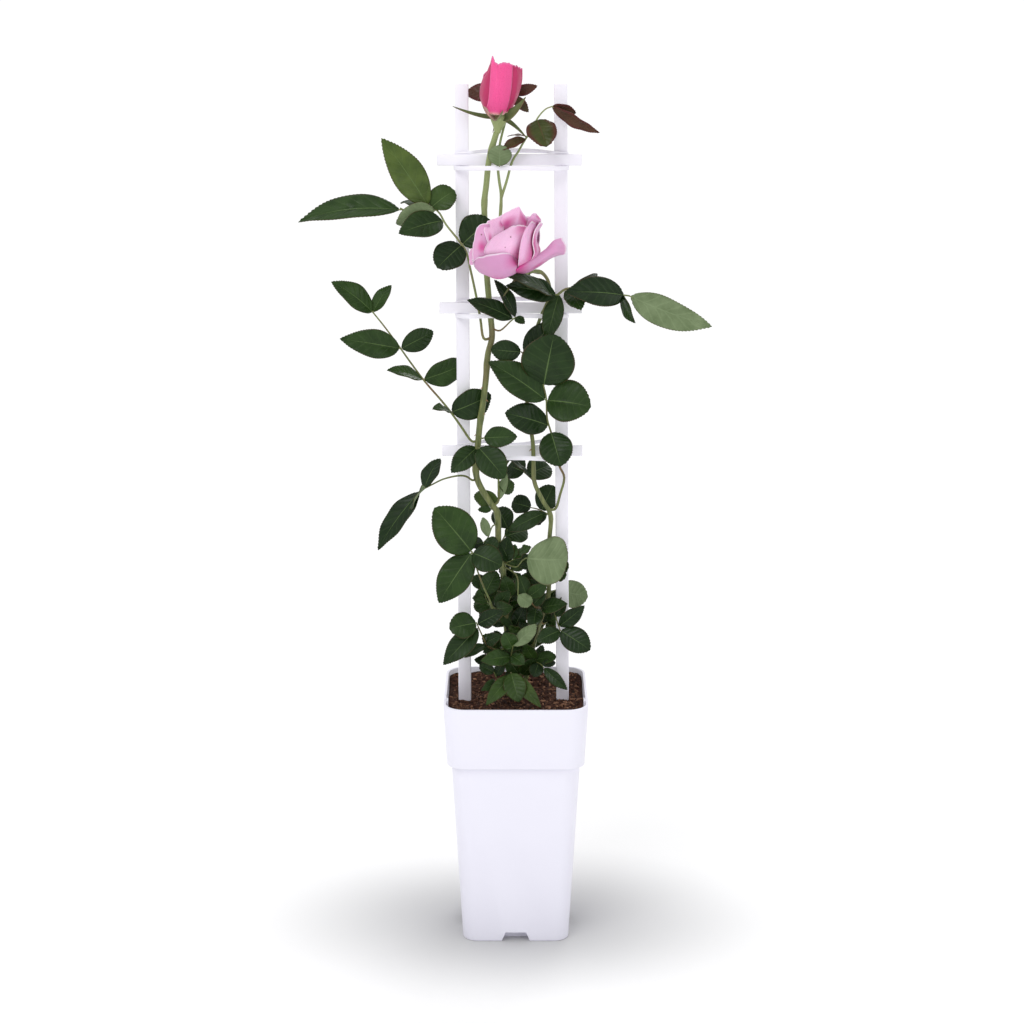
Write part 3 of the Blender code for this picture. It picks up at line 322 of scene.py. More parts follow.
veins, given, result = new_group(
    "blade_veins", {"Midrib Width": 0.06, "Margin Width": 0.07}, ["Midrib", "Side Veins", "Margin", "Relief"]
)
_, y, from_middle = blade_place(veins)
midrib_edge = sums(veins, "MULTIPLY", given["Midrib Width"], sums(veins, "SUBTRACT", 1.15, y))
midrib = ramp(veins, from_middle, 0.0, midrib_edge, 1.0, 0.0)
wobble = sums(veins, "MULTIPLY", sums(veins, "SUBTRACT", noise_value(veins, 160.0), 0.5), 0.35)
lifted = sums(veins, "MULTIPLY", sums(veins, "POWER", from_middle, VEIN_BEND), VEIN_SLANT)
phase = sums(veins, "MULTIPLY_ADD", sums(veins, "SUBTRACT", y, lifted), VEIN_PAIRS, wobble)
from_line = sums(veins, "ABSOLUTE", sums(veins, "SUBTRACT", sums(veins, "FRACT", phase), 0.5))
line = ramp(veins, from_line, 0.5, 0.5 - VEIN_WIDTH, 1.0, 0.0)
side_veins = sums(veins, "MULTIPLY", line, ramp(veins, from_middle, 0.75, 1.0, 1.0, 0.25))
margin = ramp(veins, from_middle, sums(veins, "SUBTRACT", 1.0, given["Margin Width"]), 1.0)
relief = sums(veins, "MAXIMUM", midrib, sums(veins, "MULTIPLY", side_veins, 0.6))
plug(veins, result, Midrib=midrib, Side_Veins=side_veins, Margin=margin, Relief=relief)

# %% Group: marks of a petal
RIM_WIDTH = 0.05
STREAKS_ACROSS, STREAKS_ALONG = 22.0, 2.0

flush, _, result = new_group("petal_marks", {}, ["Rim", "Streak"])
x, y, from_middle = blade_place(flush)
# A paler band along the top and the sides: partly the petal's own edge, partly a painted highlight where the
# edge catches light.
top_rim, side_rim = (ramp(flush, place, 1 - RIM_WIDTH, 1.0) for place in (y, from_middle))
fan = new_node(flush, "CombineXYZ")
plug(flush, fan, X=sums(flush, "MULTIPLY", x, STREAKS_ACROSS), Y=sums(flush, "MULTIPLY", y, STREAKS_ALONG))
streak = noise_value(flush, 1.0, detail=2.0, vector=fan.outputs["Vector"], distortion=0.4)
plug(flush, result, Rim=sums(flush, "MAXIMUM", top_rim, side_rim), Streak=streak)
print("node groups:", [group.name for group in bpy.data.node_groups])

# %% Floor paint: a grey pool of shadow round the pot, then paper that glows to pure white
floor_paint, tree, shader = new_finish(
    "floor_paint", Roughness=0.9, Specular_IOR_Level=0.1, Emission_Color=(1, 1, 1)
)
paper = ramp(tree, distance_from(tree, (0, 0, 0), (1, 1, 1)), PAPER_START, PAPER_END)
# Painted shadow: near the pot the floor's colour turns grey and its glow weakens.
light = ramp(tree, distance_from(tree, (0, 0, 0), PAINTED_SHADOW_SHAPE), PAINTED_SHADOW_START, PAINTED_SHADOW_REACH)
painted_shadow = blend_colours(tree, light, PAINTED_SHADOW_GREY, FLOOR_WHITE)
glow = sums(tree, "MULTIPLY_ADD", light, GLOW_OUTSIDE_PAINTED_SHADOW, sums(tree, "MULTIPLY", paper, PAPER_GLOW))
plug(tree, shader, Base_Color=blend_colours(tree, paper, painted_shadow, (0, 0, 0)), Emission_Strength=glow)
floor_mesh.materials.append(floor_paint)

# %% [markdown]
# ## How a piece is finished
#
# Each new piece rides on the only body and hides the plain solid that it stands for. The helper below does
# that for every mesh in the lesson.

# %% Helpers: from bmesh to finished piece
def within(value, low=0.0, high=1.0):
    """The value, kept between two limits."""
    return max(low, min(high, value))


def new_object(name, bm, finishes=()):
    """An object with a mesh from the bmesh, linked to the scene."""
    mesh = bpy.data.meshes.new(name)
    bm.to_mesh(mesh)
    bm.free()
    for finish in finishes:
        mesh.materials.append(finish)
    obj = bpy.data.objects.new(name, mesh)
    scene.collection.objects.link(obj)
    return obj


def apply_modifiers(obj):
    """Replaces the mesh with what its modifiers make of it."""
    graph = bpy.context.evaluated_depsgraph_get()
    mesh = bpy.data.meshes.new_from_object(obj.evaluated_get(graph))
    obj.modifiers.clear()
    obj.data = mesh


def thicken(name, bm, thickness, finishes):
    """An object from a bmesh of sheets, with a wall; its back takes the next finish, if there is one."""
    sheet = new_object(name, bm, finishes)
    wall = sheet.modifiers.new("wall", "SOLIDIFY")
    wall.thickness = thickness
    wall.offset = 0
    wall.material_offset = 1
    apply_modifiers(sheet)
    return sheet


def hand_over(obj, replaced=(), sharp=None):
    """Smooth shading, body and the solids that the piece stands for."""
    obj.data.shade_smooth()
    if sharp is not None:
        obj.data.set_sharp_from_angle(angle=math.radians(sharp))
    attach(obj, "root")
    if replaced:
        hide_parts(*replaced)
    print(obj.name, "has", len(obj.data.polygons), "faces")


# %% [markdown]
# ## White plastics
#
# The pot is glossier than the trellis. Both are white with a faint lilac cast, and a plain white would
# look dead, so a very weak mottling changes the colour and the roughness by a few percent, as skin
# oil, dust and mould marks do.

# %% Pot and trellis plastic
def white_plastic(name, clean, dusty, roughness, grain):
    """Glossy white, weakly mottled in its colour, its roughness and its surface."""
    material, tree, shader = new_finish(name)
    shades = place_group(tree, mottle, First=clean, Second=dusty, Scale=22.0, Spread=0.28)
    rough = ramp(tree, noise_value(tree, 60.0), 0.3, 0.7, roughness * 0.92, roughness * 1.08)
    plug(tree, shader, Base_Color=shades["Colour"], Roughness=rough)
    add_bump(tree, shader, noise_value(tree, grain, detail=2.0), 0.04, 0.3 * MM)
    return material


POT_PLASTIC = white_plastic("pot_plastic", (0.86, 0.85, 0.95), (0.85, 0.84, 0.94), 0.30, 420.0)
RACK_PLASTIC = white_plastic("rack_plastic", (0.92, 0.90, 0.98), (0.89, 0.87, 0.95), 0.38, 700.0)

# %% [markdown]
# ## The pot
#
# A square moulded pot is one closed skin: up the outside, over the rim, down the inside. Instead of
# joining boxes, one rounded square is drawn upward again and again, each time scaled to the width of
# the next ring. The step under the collar is just two rings at nearly the same height. Solid plastic
# under the hidden floor leaves room for the drain notches, which are cut last.

# %% Rounded square, drawn through rings
def rounded_square(bm, half, corner, steps):
    """A flat square face with round corners; returns it."""
    made = bmesh.ops.create_grid(bm, x_segments=1, y_segments=1, size=half)
    bmesh.ops.bevel(
        bm, geom=made["verts"], affect="VERTICES", offset=corner, segments=steps, profile=0.5, material=-1
    )
    bm.faces.ensure_lookup_table()
    return bm.faces[0]


def push_face(bm, face, first=False):
    """Extrudes a face and returns the new one; only a first face stays behind, as the bottom."""
    made = bmesh.ops.extrude_face_region(bm, geom=[face])["geom"]
    if not first:
        bmesh.ops.delete(bm, geom=[face], context="FACES_ONLY")
    return [item for item in made if isinstance(item, bmesh.types.BMFace)][0]


def draw_through(bm, face, rings):
    """Extrudes a face through rings of (height, half width); the first ring is the face itself."""
    z, half = rings[0]
    bmesh.ops.translate(bm, vec=(0, 0, z), verts=face.verts)
    for step, (next_z, next_half) in enumerate(rings[1:]):
        face = push_face(bm, face, first=step == 0)
        ratio = next_half / half
        bmesh.ops.scale(bm, vec=(ratio, ratio, 1), verts=face.verts)
        bmesh.ops.translate(bm, vec=(0, 0, next_z - z), verts=face.verts)
        z, half = next_z, next_half
    bmesh.ops.recalc_face_normals(bm, faces=bm.faces)


def quarter(start, end, steps, bulge):
    """Ring heights and widths that turn a corner; bulge says whether it first goes out or up."""
    turned = []
    for step in range(steps + 1):
        angle = math.pi / 2 * step / steps
        out, up = math.sin(angle), 1 - math.cos(angle)
        if bulge == "up":
            out, up = up, out
        turned.append((start[0] + (end[0] - start[0]) * up, start[1] + (end[1] - start[1]) * out))
    return turned


# %% Pot body
pot_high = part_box("pot")[1]
POT_HEIGHT, RIM_HALF = pot_high.z, pot_high.x
COLLAR_LOW, COLLAR_HALF = 187.5 * MM, 67.8 * MM
BODY_TOP_HALF, FOOT_HALF = 63.35 * MM, 53.2 * MM
CORNER, WALL = 14.5 * MM, 2.0 * MM
ROUND = 1.3 * MM  # rounding of the foot and the collar
LIP, INNER_LIP = 0.9 * MM, 0.6 * MM  # rounding of the rim
PLINTH = 13 * MM  # plastic under the hidden floor

outer = quarter((0, FOOT_HALF - ROUND), (ROUND, FOOT_HALF), 3, "out")
outer += [(COLLAR_LOW - 0.5 * MM, BODY_TOP_HALF), (COLLAR_LOW, BODY_TOP_HALF + 0.4 * MM)]
outer += quarter((COLLAR_LOW, COLLAR_HALF - ROUND), (COLLAR_LOW + ROUND, COLLAR_HALF), 3, "out")
outer += quarter((POT_HEIGHT - LIP, RIM_HALF), (POT_HEIGHT, RIM_HALF - LIP), 3, "up")
inner_rim = RIM_HALF - WALL - INNER_LIP
inner = quarter((POT_HEIGHT, inner_rim + INNER_LIP), (POT_HEIGHT - INNER_LIP, inner_rim), 2, "out")
inner += [(COLLAR_LOW + 3 * MM, COLLAR_HALF - WALL - ROUND), (COLLAR_LOW, BODY_TOP_HALF - WALL)]
inner += [(PLINTH, FOOT_HALF + 0.4 * MM - WALL)]

bm = bmesh.new()
base = rounded_square(bm, FOOT_HALF - ROUND, CORNER, 9)
draw_through(bm, base, outer + inner)
pot = new_object("square_pot", bm, [POT_PLASTIC])
print("pot rim, in millimetres:", round(2 * RIM_HALF / MM, 1), "height:", round(POT_HEIGHT / MM, 1))

# %% Drain notches, one in each side of the foot
NOTCH_HEIGHT, NOTCH_DEPTH = 9.7 * MM, 12 * MM
NOTCH_LOW_HALF, NOTCH_TOP_HALF = 14.75 * MM, 10.25 * MM
CUT_BELOW, CUT_OUTSIDE = 1 * MM, 4 * MM  # a cutter passes the foot by this much

cutters = bpy.data.collections.new("cutters")
scene.collection.children.link(cutters)
for turn in range(4):
    bm = bmesh.new()
    bmesh.ops.create_cube(bm, size=1)
    for vertex in bm.verts:
        x, y, z = vertex.co
        half_width, height = (NOTCH_TOP_HALF, NOTCH_HEIGHT) if z > 0 else (NOTCH_LOW_HALF, -CUT_BELOW)
        depth = -FOOT_HALF + (NOTCH_DEPTH if y > 0 else -CUT_OUTSIDE)
        vertex.co = (math.copysign(half_width, x), depth, height)
    bmesh.ops.rotate(bm, verts=bm.verts, matrix=Matrix.Rotation(turn * math.pi / 2, 3, "Z"))
    cutter = new_object("notch_cutter", bm)
    scene.collection.objects.unlink(cutter)
    cutters.objects.link(cutter)
cut = pot.modifiers.new("notches", "BOOLEAN")
cut.operation = "DIFFERENCE"
cut.operand_type = "COLLECTION"
cut.collection = cutters
cut.solver = "EXACT"
apply_modifiers(pot)
for cutter in list(cutters.objects):
    bpy.data.objects.remove(cutter)
bpy.data.collections.remove(cutters)
hand_over(pot, ["pot"], sharp=32)


# %% Small tabs inside the rim that hold a label or a rack
def rounded_box(size, edge):
    """A bmesh of a box round the origin, with rounded edges."""
    bm = bmesh.new()
    bmesh.ops.create_cube(bm, size=1)
    bmesh.ops.scale(bm, vec=size, verts=bm.verts)
    bmesh.ops.bevel(bm, geom=bm.edges, affect="EDGES", offset=edge, segments=3, profile=0.5, material=-1)
    return bm


TAB_SIZE = Vector((2.2, 11, 9)) * MM
TAB_Y, TAB_DROP = -34 * MM, 5.5 * MM
for side, label in ((-1, "left"), (1, "right")):
    bm = rounded_box(TAB_SIZE, 0.7 * MM)
    place = (side * (inner_rim - INNER_LIP), TAB_Y, POT_HEIGHT - TAB_DROP)
    bmesh.ops.translate(bm, vec=place, verts=bm.verts)
    hand_over(new_object("rim_tab_" + label, bm, [POT_PLASTIC]), sharp=40)

# %% [markdown]
# ## The ladder trellis
#
# Two flat uprights stand in the soil, three straight slats cross them in front, and at each slat a
# thin bowed strip passes before the canes and another behind them. The strips keep the canes close.
# Their bow is a formula on a grid that gets its thickness from Solidify.

# %% Uprights and slats: rounded bars sheared to their lean
UPRIGHT_WIDTH = 12.6 * MM
RUNGS = ("top", "middle", "low")


def add_bar(node, edge):
    """A bar that fills a solid's box, with rounded edges; a leaning upright is sheared."""
    low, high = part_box(node)
    size = high - low
    wide = min(size.x, UPRIGHT_WIDTH) if node.startswith("upright") else size.x
    bm = rounded_box((wide, size.y, size.z), edge)
    lean = (size.x - wide) / size.z
    for vertex in bm.verts:
        vertex.co.x -= lean * vertex.co.z
    bmesh.ops.translate(bm, vec=(low + high) / 2, verts=bm.verts)
    hand_over(new_object("rack_" + node, bm, [RACK_PLASTIC]), [node], sharp=50)


for side in ("left", "right"):
    add_bar("upright_" + side, 0.9 * MM)
for level in RUNGS:
    add_bar("slat_" + level, 0.8 * MM)

# %% Bowed guide strips
GUIDE_THICKNESS, GUIDE_HEIGHT = 1.3 * MM, 4.2 * MM
GUIDE_REACH = 54 * MM
GUIDE_GAP = 0.3 * MM  # between a slat's edge and the strip
FRONT_BOW, BACK_BOW = 17 * MM, 14 * MM
FRONT_RISE = {"top": 1.0 * MM, "middle": 2.2 * MM, "low": 3.4 * MM}
BACK_SINK = {"top": 0.0, "middle": 1.0 * MM, "low": 5.0 * MM}
LEFT_UPRIGHT_X, RIGHT_UPRIGHT_X, RIGHT_LEAN = -51 * MM, 46.9 * MM, -5.2 / 605
SOIL_TOP = 238 * MM


def add_guide(node, place):
    """A thin strip whose middle sheet is laid out by place(u, v)."""
    bm = bmesh.new()
    bmesh.ops.create_grid(bm, x_segments=36, y_segments=2, size=1)
    for vertex in bm.verts:
        vertex.co = place(vertex.co.x, (vertex.co.y + 1) / 2)
    strip = thicken("rack_" + node, bm, GUIDE_THICKNESS, [RACK_PLASTIC])
    edges = strip.modifiers.new("edges", "BEVEL")
    edges.width = 0.3 * MM
    edges.segments = 2
    edges.limit_method = "ANGLE"
    edges.angle_limit = math.radians(50)
    apply_modifiers(strip)
    hand_over(strip, [node], sharp=50)


for level in RUNGS:
    slat_low, slat_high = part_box("slat_" + level)
    z = (slat_low.z + slat_high.z) / 2
    slat_middle = (slat_low.y + slat_high.y) / 2
    middle = (LEFT_UPRIGHT_X + RIGHT_UPRIGHT_X + RIGHT_LEAN * (z - SOIL_TOP)) / 2

    def front_guide(u, v):
        """Just under the slat, bowed to the front and rising in the middle."""
        height = slat_low.z - GUIDE_GAP - GUIDE_HEIGHT * (1 - v) + FRONT_RISE[level] * (1 - u * u)
        return Vector((middle + u * GUIDE_REACH, slat_high.y - FRONT_BOW * (1 - u**6), height))

    def back_guide(u, v):
        """Just over the slat, bowed to the back; it narrows to its ends and sinks in the middle."""
        wide = GUIDE_HEIGHT * (0.3 + 0.7 * (1 - u * u))
        height = slat_high.z + GUIDE_GAP + v * wide - BACK_SINK[level] * max(0, 1 - (u / 0.5) ** 2)
        depth = slat_middle + BACK_BOW * max(0, 1 - (u / 0.66) ** 4)
        return Vector((middle + u * GUIDE_REACH, depth, height))

    add_guide("guide_front_" + level, front_guide)
    add_guide("guide_back_" + level, back_guide)

# %% [markdown]
# ## Soil
#
# Potting soil is fine dark crumb with bark chips and pale fibres. The ground is a grid whose height
# comes from noise, its rim is drawn down to make a solid block, and seeded crumbs of many sizes lie
# on it. A tone number on each crumb lets one material colour them all differently.

# %% Soil finish
SOIL_FINISH, tree, shader = new_finish("potting_soil", Roughness=0.95, Specular_IOR_Level=0.15)
shades = place_group(tree, mottle, First=(0.016, 0.007, 0.005), Second=(0.075, 0.030, 0.019), Scale=330.0)
crumbs = blend_colours(tree, carried(tree, "tone"), shades["Colour"], (0.40, 0.215, 0.13))
plug(tree, shader, Base_Color=crumbs)
add_bump(tree, shader, noise_value(tree, 900.0, detail=4.0), 0.8, 1.0 * MM)

# %% Soil block
SOIL_HALF = inner_rim - 0.9 * MM
SOIL_CORNER = 11.5 * MM
SOIL_GRID = 90
HEAP = 6.5  # rise towards the back, in millimetres
BELOW = (  # height and half width of each ring under the surface
    (COLLAR_LOW + 2 * MM, 62.5 * MM), (COLLAR_LOW - 3 * MM, 60.5 * MM), (PLINTH + 0.5 * MM, 50.3 * MM)
)


def inside_corner(x, y, half, corner):
    """Pulls a point of a square into the same square with round corners."""
    over_x, over_y = abs(x) - (half - corner), abs(y) - (half - corner)
    if over_x <= 0 or over_y <= 0:
        return x, y
    shrink = max(over_x, over_y) / math.hypot(over_x, over_y)
    reach_x, reach_y = (half - corner + over * shrink for over in (over_x, over_y))
    return math.copysign(reach_x, x), math.copysign(reach_y, y)


def ground(x, y):
    """Height of the soil at a place: two noises, heaped towards the back."""
    rough = 2.6 * noise.noise(Vector((x * 55, y * 55, 0.3)))
    rough += 1.3 * noise.noise(Vector((x * 190, y * 190, 4.1)))
    return SOIL_TOP + (rough + HEAP * within((y / MM - 10) / 45) ** 2) * MM


bm = bmesh.new()
bm.verts.layers.float.new("tone")
bmesh.ops.create_grid(bm, x_segments=SOIL_GRID, y_segments=SOIL_GRID, size=SOIL_HALF)
for vertex in bm.verts:
    x, y = inside_corner(vertex.co.x, vertex.co.y, SOIL_HALF, SOIL_CORNER)
    vertex.co = (x, y, ground(x, y))
rim = [edge for edge in bm.edges if edge.is_boundary]
half = SOIL_HALF
for level, next_half in BELOW:
    made = bmesh.ops.extrude_edge_only(bm, edges=rim)["geom"]
    for vertex in made:
        if isinstance(vertex, bmesh.types.BMVert):
            vertex.co = (vertex.co.x * next_half / half, vertex.co.y * next_half / half, level)
    rim = [item for item in made if isinstance(item, bmesh.types.BMEdge)]
    half = next_half
bmesh.ops.contextual_create(bm, geom=rim)
bmesh.ops.recalc_face_normals(bm, faces=bm.faces)
hand_over(new_object("soil_block", bm, [SOIL_FINISH]), ["soil"])

# %% Crumbs, bark chips and fibres on the soil
CRUMBS, CHIPS, FIBRES = 1700, 150, 90
FIBRE_HALF = 0.22 * MM
draw = random.Random(7)


def lump(size, tone, detail):
    """Adds one rough crumb at a drawn place: a small icosphere, squeezed, roughened and turned."""
    made = bmesh.ops.create_icosphere(bm, subdivisions=detail, radius=1)["verts"]
    turn = Matrix.Rotation(draw.uniform(0, 2 * math.pi), 3, Vector((draw.random(), draw.random(), 1)))
    reach = SOIL_HALF - 3 * MM
    x, y = inside_corner(draw.uniform(-reach, reach), draw.uniform(-reach, reach), reach, SOIL_CORNER)
    spot = Vector((x, y, ground(x, y)))
    seed = Vector((draw.random() * 9, draw.random() * 9, 0))
    for vertex in made:
        rough = 1 + 0.35 * noise.noise(vertex.co * 1.3 + seed)
        vertex.co = spot + turn @ (vertex.co * Vector(size) * rough)
        vertex[tones] = tone


bm = bmesh.new()
tones = bm.verts.layers.float.new("tone")
for _ in range(CRUMBS):
    radius = draw.uniform(0.6, 2.2) * MM * draw.uniform(0.6, 1.0)
    lump((radius, radius * 0.85, radius * 0.7), draw.random() ** 2.5 * 0.75, 1)
for _ in range(CHIPS):
    length = draw.uniform(1.8, 4.6) * MM
    lump((length, length * 0.4, length * 0.25), draw.uniform(0.15, 0.9), 2)
for _ in range(FIBRES):
    lump((draw.uniform(3, 7) * MM, FIBRE_HALF, FIBRE_HALF), draw.uniform(0.7, 1.0), 1)
hand_over(new_object("soil_crumbs", bm, [SOIL_FINISH]))

# %% [markdown]
# ## Canes and shoots
#
# Rose canes are slightly knobbly: they swell a little at each node, bend there, and carry hooked
# prickles. A smooth route is drawn through a few chosen points, its radius swells at even steps, and a
# curve with a round bevel turns it into a tube. Points are in millimetres.

# %% Cane and stalk finishes
FRESH_GREEN = (0.33, 0.40, 0.17)
FRESH_FROM, FRESH_ABOVE = 0.55, 0.76  # heights between which the bark freshens


def stem_finish(name, young, old, rusty, roughness):
    """Streaked green bark that reddens in patches and is fresher towards the top."""
    material, tree, shader = new_finish(name, Roughness=roughness, Specular_IOR_Level=0.35)
    streaks = noise_value(tree, 420.0, detail=4.0, vector=object_place(tree, (1, 1, 0.12)))
    green = blend_colours(tree, ramp(tree, streaks, 0.35, 0.65), young, old)
    height = axes(tree, new_node(tree, "TexCoord").outputs["Object"])["Z"]
    fresh = ramp(tree, height, FRESH_FROM, FRESH_ABOVE)
    green = blend_colours(tree, fresh, green, FRESH_GREEN, weight=0.7)
    patches = ramp(tree, noise_value(tree, 26.0), 0.5, 0.72)
    plug(tree, shader, Base_Color=blend_colours(tree, patches, green, rusty, weight=0.6))
    add_bump(tree, shader, streaks, 0.5, 0.5 * MM)
    return material


CANE_BARK = stem_finish("cane_bark", (0.19, 0.21, 0.075), (0.10, 0.125, 0.042), (0.15, 0.10, 0.055), 0.42)
STALK_SKIN = stem_finish("stalk_skin", (0.15, 0.19, 0.06), (0.12, 0.12, 0.045), (0.20, 0.075, 0.045), 0.45)
PRICKLE_SKIN, tree, shader = new_finish("prickle_skin", Roughness=0.4)
shades = place_group(tree, mottle, First=(0.30, 0.13, 0.07), Second=(0.38, 0.25, 0.12), Scale=300.0)
plug(tree, shader, Base_Color=shades["Colour"])

# %% Routes of the canes: points, radius at each end, prickles as (root, direction)
CANES = {
    "cane_left": (
        [(-2, 12, 120), (-2, 12, 237), (-8, 13, 296), (-11, 9, 339), (-13, 4, 375), (-17, 0, 396),
         (-18, -5, 429), (-24, -9, 441), (-32, -11, 454), (-38, -12, 468), (-39, -13, 484), (-37, -14, 499),
         (-35, -14, 520), (-32, -14, 540), (-29, -13, 564), (-27, -11, 588), (-23, -10, 605), (-24, -13, 624),
         (-26, -13, 645), (-28, -8, 669), (-29, -5, 698), (-30, -6, 731), (-28, -9, 750), (-26, -13, 769),
         (-23, -13, 783), (-18.3, -13, 798.6)],
        3.3, 2.8,
        [((-14, 2, 382), (1, -0.5, 0.1)), ((-30, -14, 558), (-1, -0.3, 0)), ((-31, -14, 546), (1, -0.4, 0)),
         ((-33, -14, 533), (0.8, -0.6, 0)), ((-36, -14, 512), (-1, -0.2, 0))],
    ),
    "cane_right": (
        [(9, 14, 120), (9, 14, 239), (11, 15, 258), (15, 15, 279), (21, 12, 304), (27, 8, 326), (32, 5, 342),
         (33, 0, 372), (33, -4, 403), (34, -8, 429), (26, -10, 445), (18, -12, 464), (17, -13, 488),
         (16, -13, 506), (12, -10, 530), (10, -8, 559), (13, -9, 588), (21, -13, 618), (29, -14, 637),
         (32, -20, 650), (30, -27, 662), (24, -32, 670), (17, -37, 672), (12.2, -39, 670.6)],
        2.9, 1.6,
        [((24, 10, 315), (1, -0.4, 0.2)), ((17, -13, 497), (-1, -0.3, 0))],
    ),
}
SHOOT_TOP_LEFT = [(-28, -7, 680), (-22, -2, 693), (-16, -3, 712), (-14, -8, 738), (-16, -11, 755),
                  (-17, -13, 769), (-15, -12, 789), (-9, -5, 812), (-6, 2, 826)]
SHOOT_TOP_RIGHT = [(-14, -8, 738), (-9, -11, 753), (-4, -13, 771), (2, -13, 781)]
NODE_SPACING = 52 * MM
NODE_SWELL = 0.16
NODE_REACH = 4 * MM


# %% Smooth tubes along routes
def in_metres(points):
    """Points in millimetres as vectors in metres."""
    return [Vector(point) * MM for point in points]


def curve_at(points, share):
    """A place on the smooth curve through some points, by the Catmull-Rom formula."""
    full = [2 * points[0] - points[1]] + list(points) + [2 * points[-1] - points[-2]]
    place = share * (len(points) - 1)
    first = min(int(place), len(points) - 2)
    t = place - first
    p0, p1, p2, p3 = full[first : first + 4]
    bend = (2 * p0 - 5 * p1 + 4 * p2 - p3) * t * t + (3 * p1 - p0 - 3 * p2 + p3) * t**3
    return (2 * p1 + (p2 - p0) * t + bend) / 2


def smoothed(points, pieces=6):
    """A smooth route through the points, in even pieces between them."""
    count = (len(points) - 1) * pieces
    return [curve_at(points, i / count) for i in range(count + 1)]


def run_lengths(route):
    """Distance from the start to each point of a route."""
    lengths = [0.0]
    for a, b in zip(route, route[1:]):
        lengths.append(lengths[-1] + (b - a).length)
    return lengths


def tube_mesh(name, runs, roundness):
    """A mesh of closed tubes; runs holds (points, radii) pairs."""
    curve = bpy.data.curves.new(name, "CURVE")
    curve.dimensions = "3D"
    curve.bevel_depth = 1
    curve.bevel_resolution = roundness
    curve.use_fill_caps = True
    for points, radii in runs:
        spline = curve.splines.new("POLY")
        spline.points.add(len(points) - 1)
        for corner, point, radius in zip(spline.points, points, radii):
            corner.co = (*point, 1)
            corner.radius = radius
    guide = bpy.data.objects.new(name, curve)
    scene.collection.objects.link(guide)
    graph = bpy.context.evaluated_depsgraph_get()
    mesh = bpy.data.meshes.new_from_object(guide.evaluated_get(graph))
    bpy.data.objects.remove(guide)
    return mesh


def knobbly(points, low, high):
    """A smoothed route with radii that thin evenly and swell at each node."""
    route = smoothed(points)
    lengths = run_lengths(route)
    radii = []
    for run in lengths:
        from_node = abs((run + NODE_SPACING / 2) % NODE_SPACING - NODE_SPACING / 2)
        swell = NODE_SWELL * math.exp(-((from_node / NODE_REACH) ** 2))
        radii.append((low + (high - low) * run / lengths[-1]) * (1 + swell) * MM)
    return route, radii


HOOK = ((1.2, 0.2, 0.62), (1.3, 0.5, 0.6), (1.3, 0.9, 0.5), (1.0, 0.9, 0.3))  # reach, drop, shrink


def add_prickle(bm, root, direction):
    """A hooked thorn: an oval drawn outward, turned down and narrowed step by step."""
    made = bmesh.ops.create_circle(bm, cap_ends=True, segments=10, radius=1)
    bmesh.ops.scale(bm, vec=(1.1 * MM, 2.3 * MM, 1), verts=made["verts"])
    face = made["verts"][0].link_faces[0]
    grown = list(made["verts"])
    for step, (reach, drop, shrink) in enumerate(HOOK):
        face = push_face(bm, face, first=step == 0)
        middle = face.calc_center_median()
        for vertex in face.verts:
            vertex.co = middle + (vertex.co - middle) * shrink + Vector((0, -drop, reach)) * MM
        grown += list(face.verts)
    turn = Vector(direction).to_track_quat("Z", "Y").to_matrix()
    if (turn @ Vector((0, 1, 0))).z < 0:
        turn = turn @ Matrix.Rotation(math.pi, 3, "Z")
    for vertex in grown:
        vertex.co = turn @ vertex.co + Vector(root) * MM


# %% Build the canes
for name, (points, low, high, thorns) in CANES.items():
    bm = bmesh.new()
    bm.from_mesh(tube_mesh(name, [knobbly(in_metres(points), low, high)], 5))
    stem_faces = len(bm.faces)
    for root, direction in thorns:
        add_prickle(bm, root, direction)
    bm.faces.ensure_lookup_table()
    for face in bm.faces[stem_faces:]:
        face.material_index = 1
    bmesh.ops.recalc_face_normals(bm, faces=bm.faces)
    hand_over(new_object("rose_" + name, bm, [CANE_BARK, PRICKLE_SKIN]), [name])

bm = bmesh.new()
runs = [knobbly(in_metres(SHOOT_TOP_LEFT), 1.8, 0.9), knobbly(in_metres(SHOOT_TOP_RIGHT), 1.4, 1.0)]
bm.from_mesh(tube_mesh("shoots", runs, 4))
bmesh.ops.recalc_face_normals(bm, faces=bm.faces)
hand_over(new_object("rose_shoot_top", bm, [STALK_SKIN]), ["shoot_top"])

# %% [markdown]
# ## Leaves
#
# A rose leaf is a stalk with three to seven leaflets. Each leaflet is an arched, folded grid whose
# side edge is a row of forward teeth, and whose surface is quilted between the side veins. The veins
# group draws its lines from the same formula, so the colour follows the relief. Solidify gives the
# blade its thickness and a second material for the pale underside.

# %% Leaf finishes
def leaf_top(name, shades, margin, midrib, roughness, margin_width=0.07):
    """Upper side: three greens by tone, mottled, with faint side veins, a tinted margin and a midrib."""
    material, tree, shader = new_finish(name, Specular_IOR_Level=0.2)
    low, middle, high = shades
    tone = carried(tree, "tone")
    green = blend_colours(tree, ramp(tree, tone, 0.0, 0.5), low, middle)
    green = blend_colours(tree, ramp(tree, tone, 0.5, 1.0), green, high)
    patches = place_group(tree, mottle, First=(0.74, 0.78, 0.72), Second=(1.2, 1.16, 1.15), Scale=75.0)
    green = blend_colours(tree, 1.0, green, patches["Colour"], method="MULTIPLY")
    lines = place_group(tree, veins, Margin_Width=margin_width)
    drawn = (("Side Veins", midrib, 0.07), ("Margin", margin, 0.8), ("Midrib", midrib, 0.75))
    for label, tint, weight in drawn:
        green = blend_colours(tree, lines[label], green, tint, weight)
    rough = ramp(tree, noise_value(tree, 45.0), 0.35, 0.65, roughness * 0.6, roughness * 1.4)
    plug(tree, shader, Base_Color=green, Roughness=rough)
    grain = sums(tree, "MULTIPLY", noise_value(tree, 900.0, detail=2.0), 0.25)
    add_bump(tree, shader, sums(tree, "SUBTRACT", grain, lines["Relief"]), 0.5, 0.5 * MM)
    return material


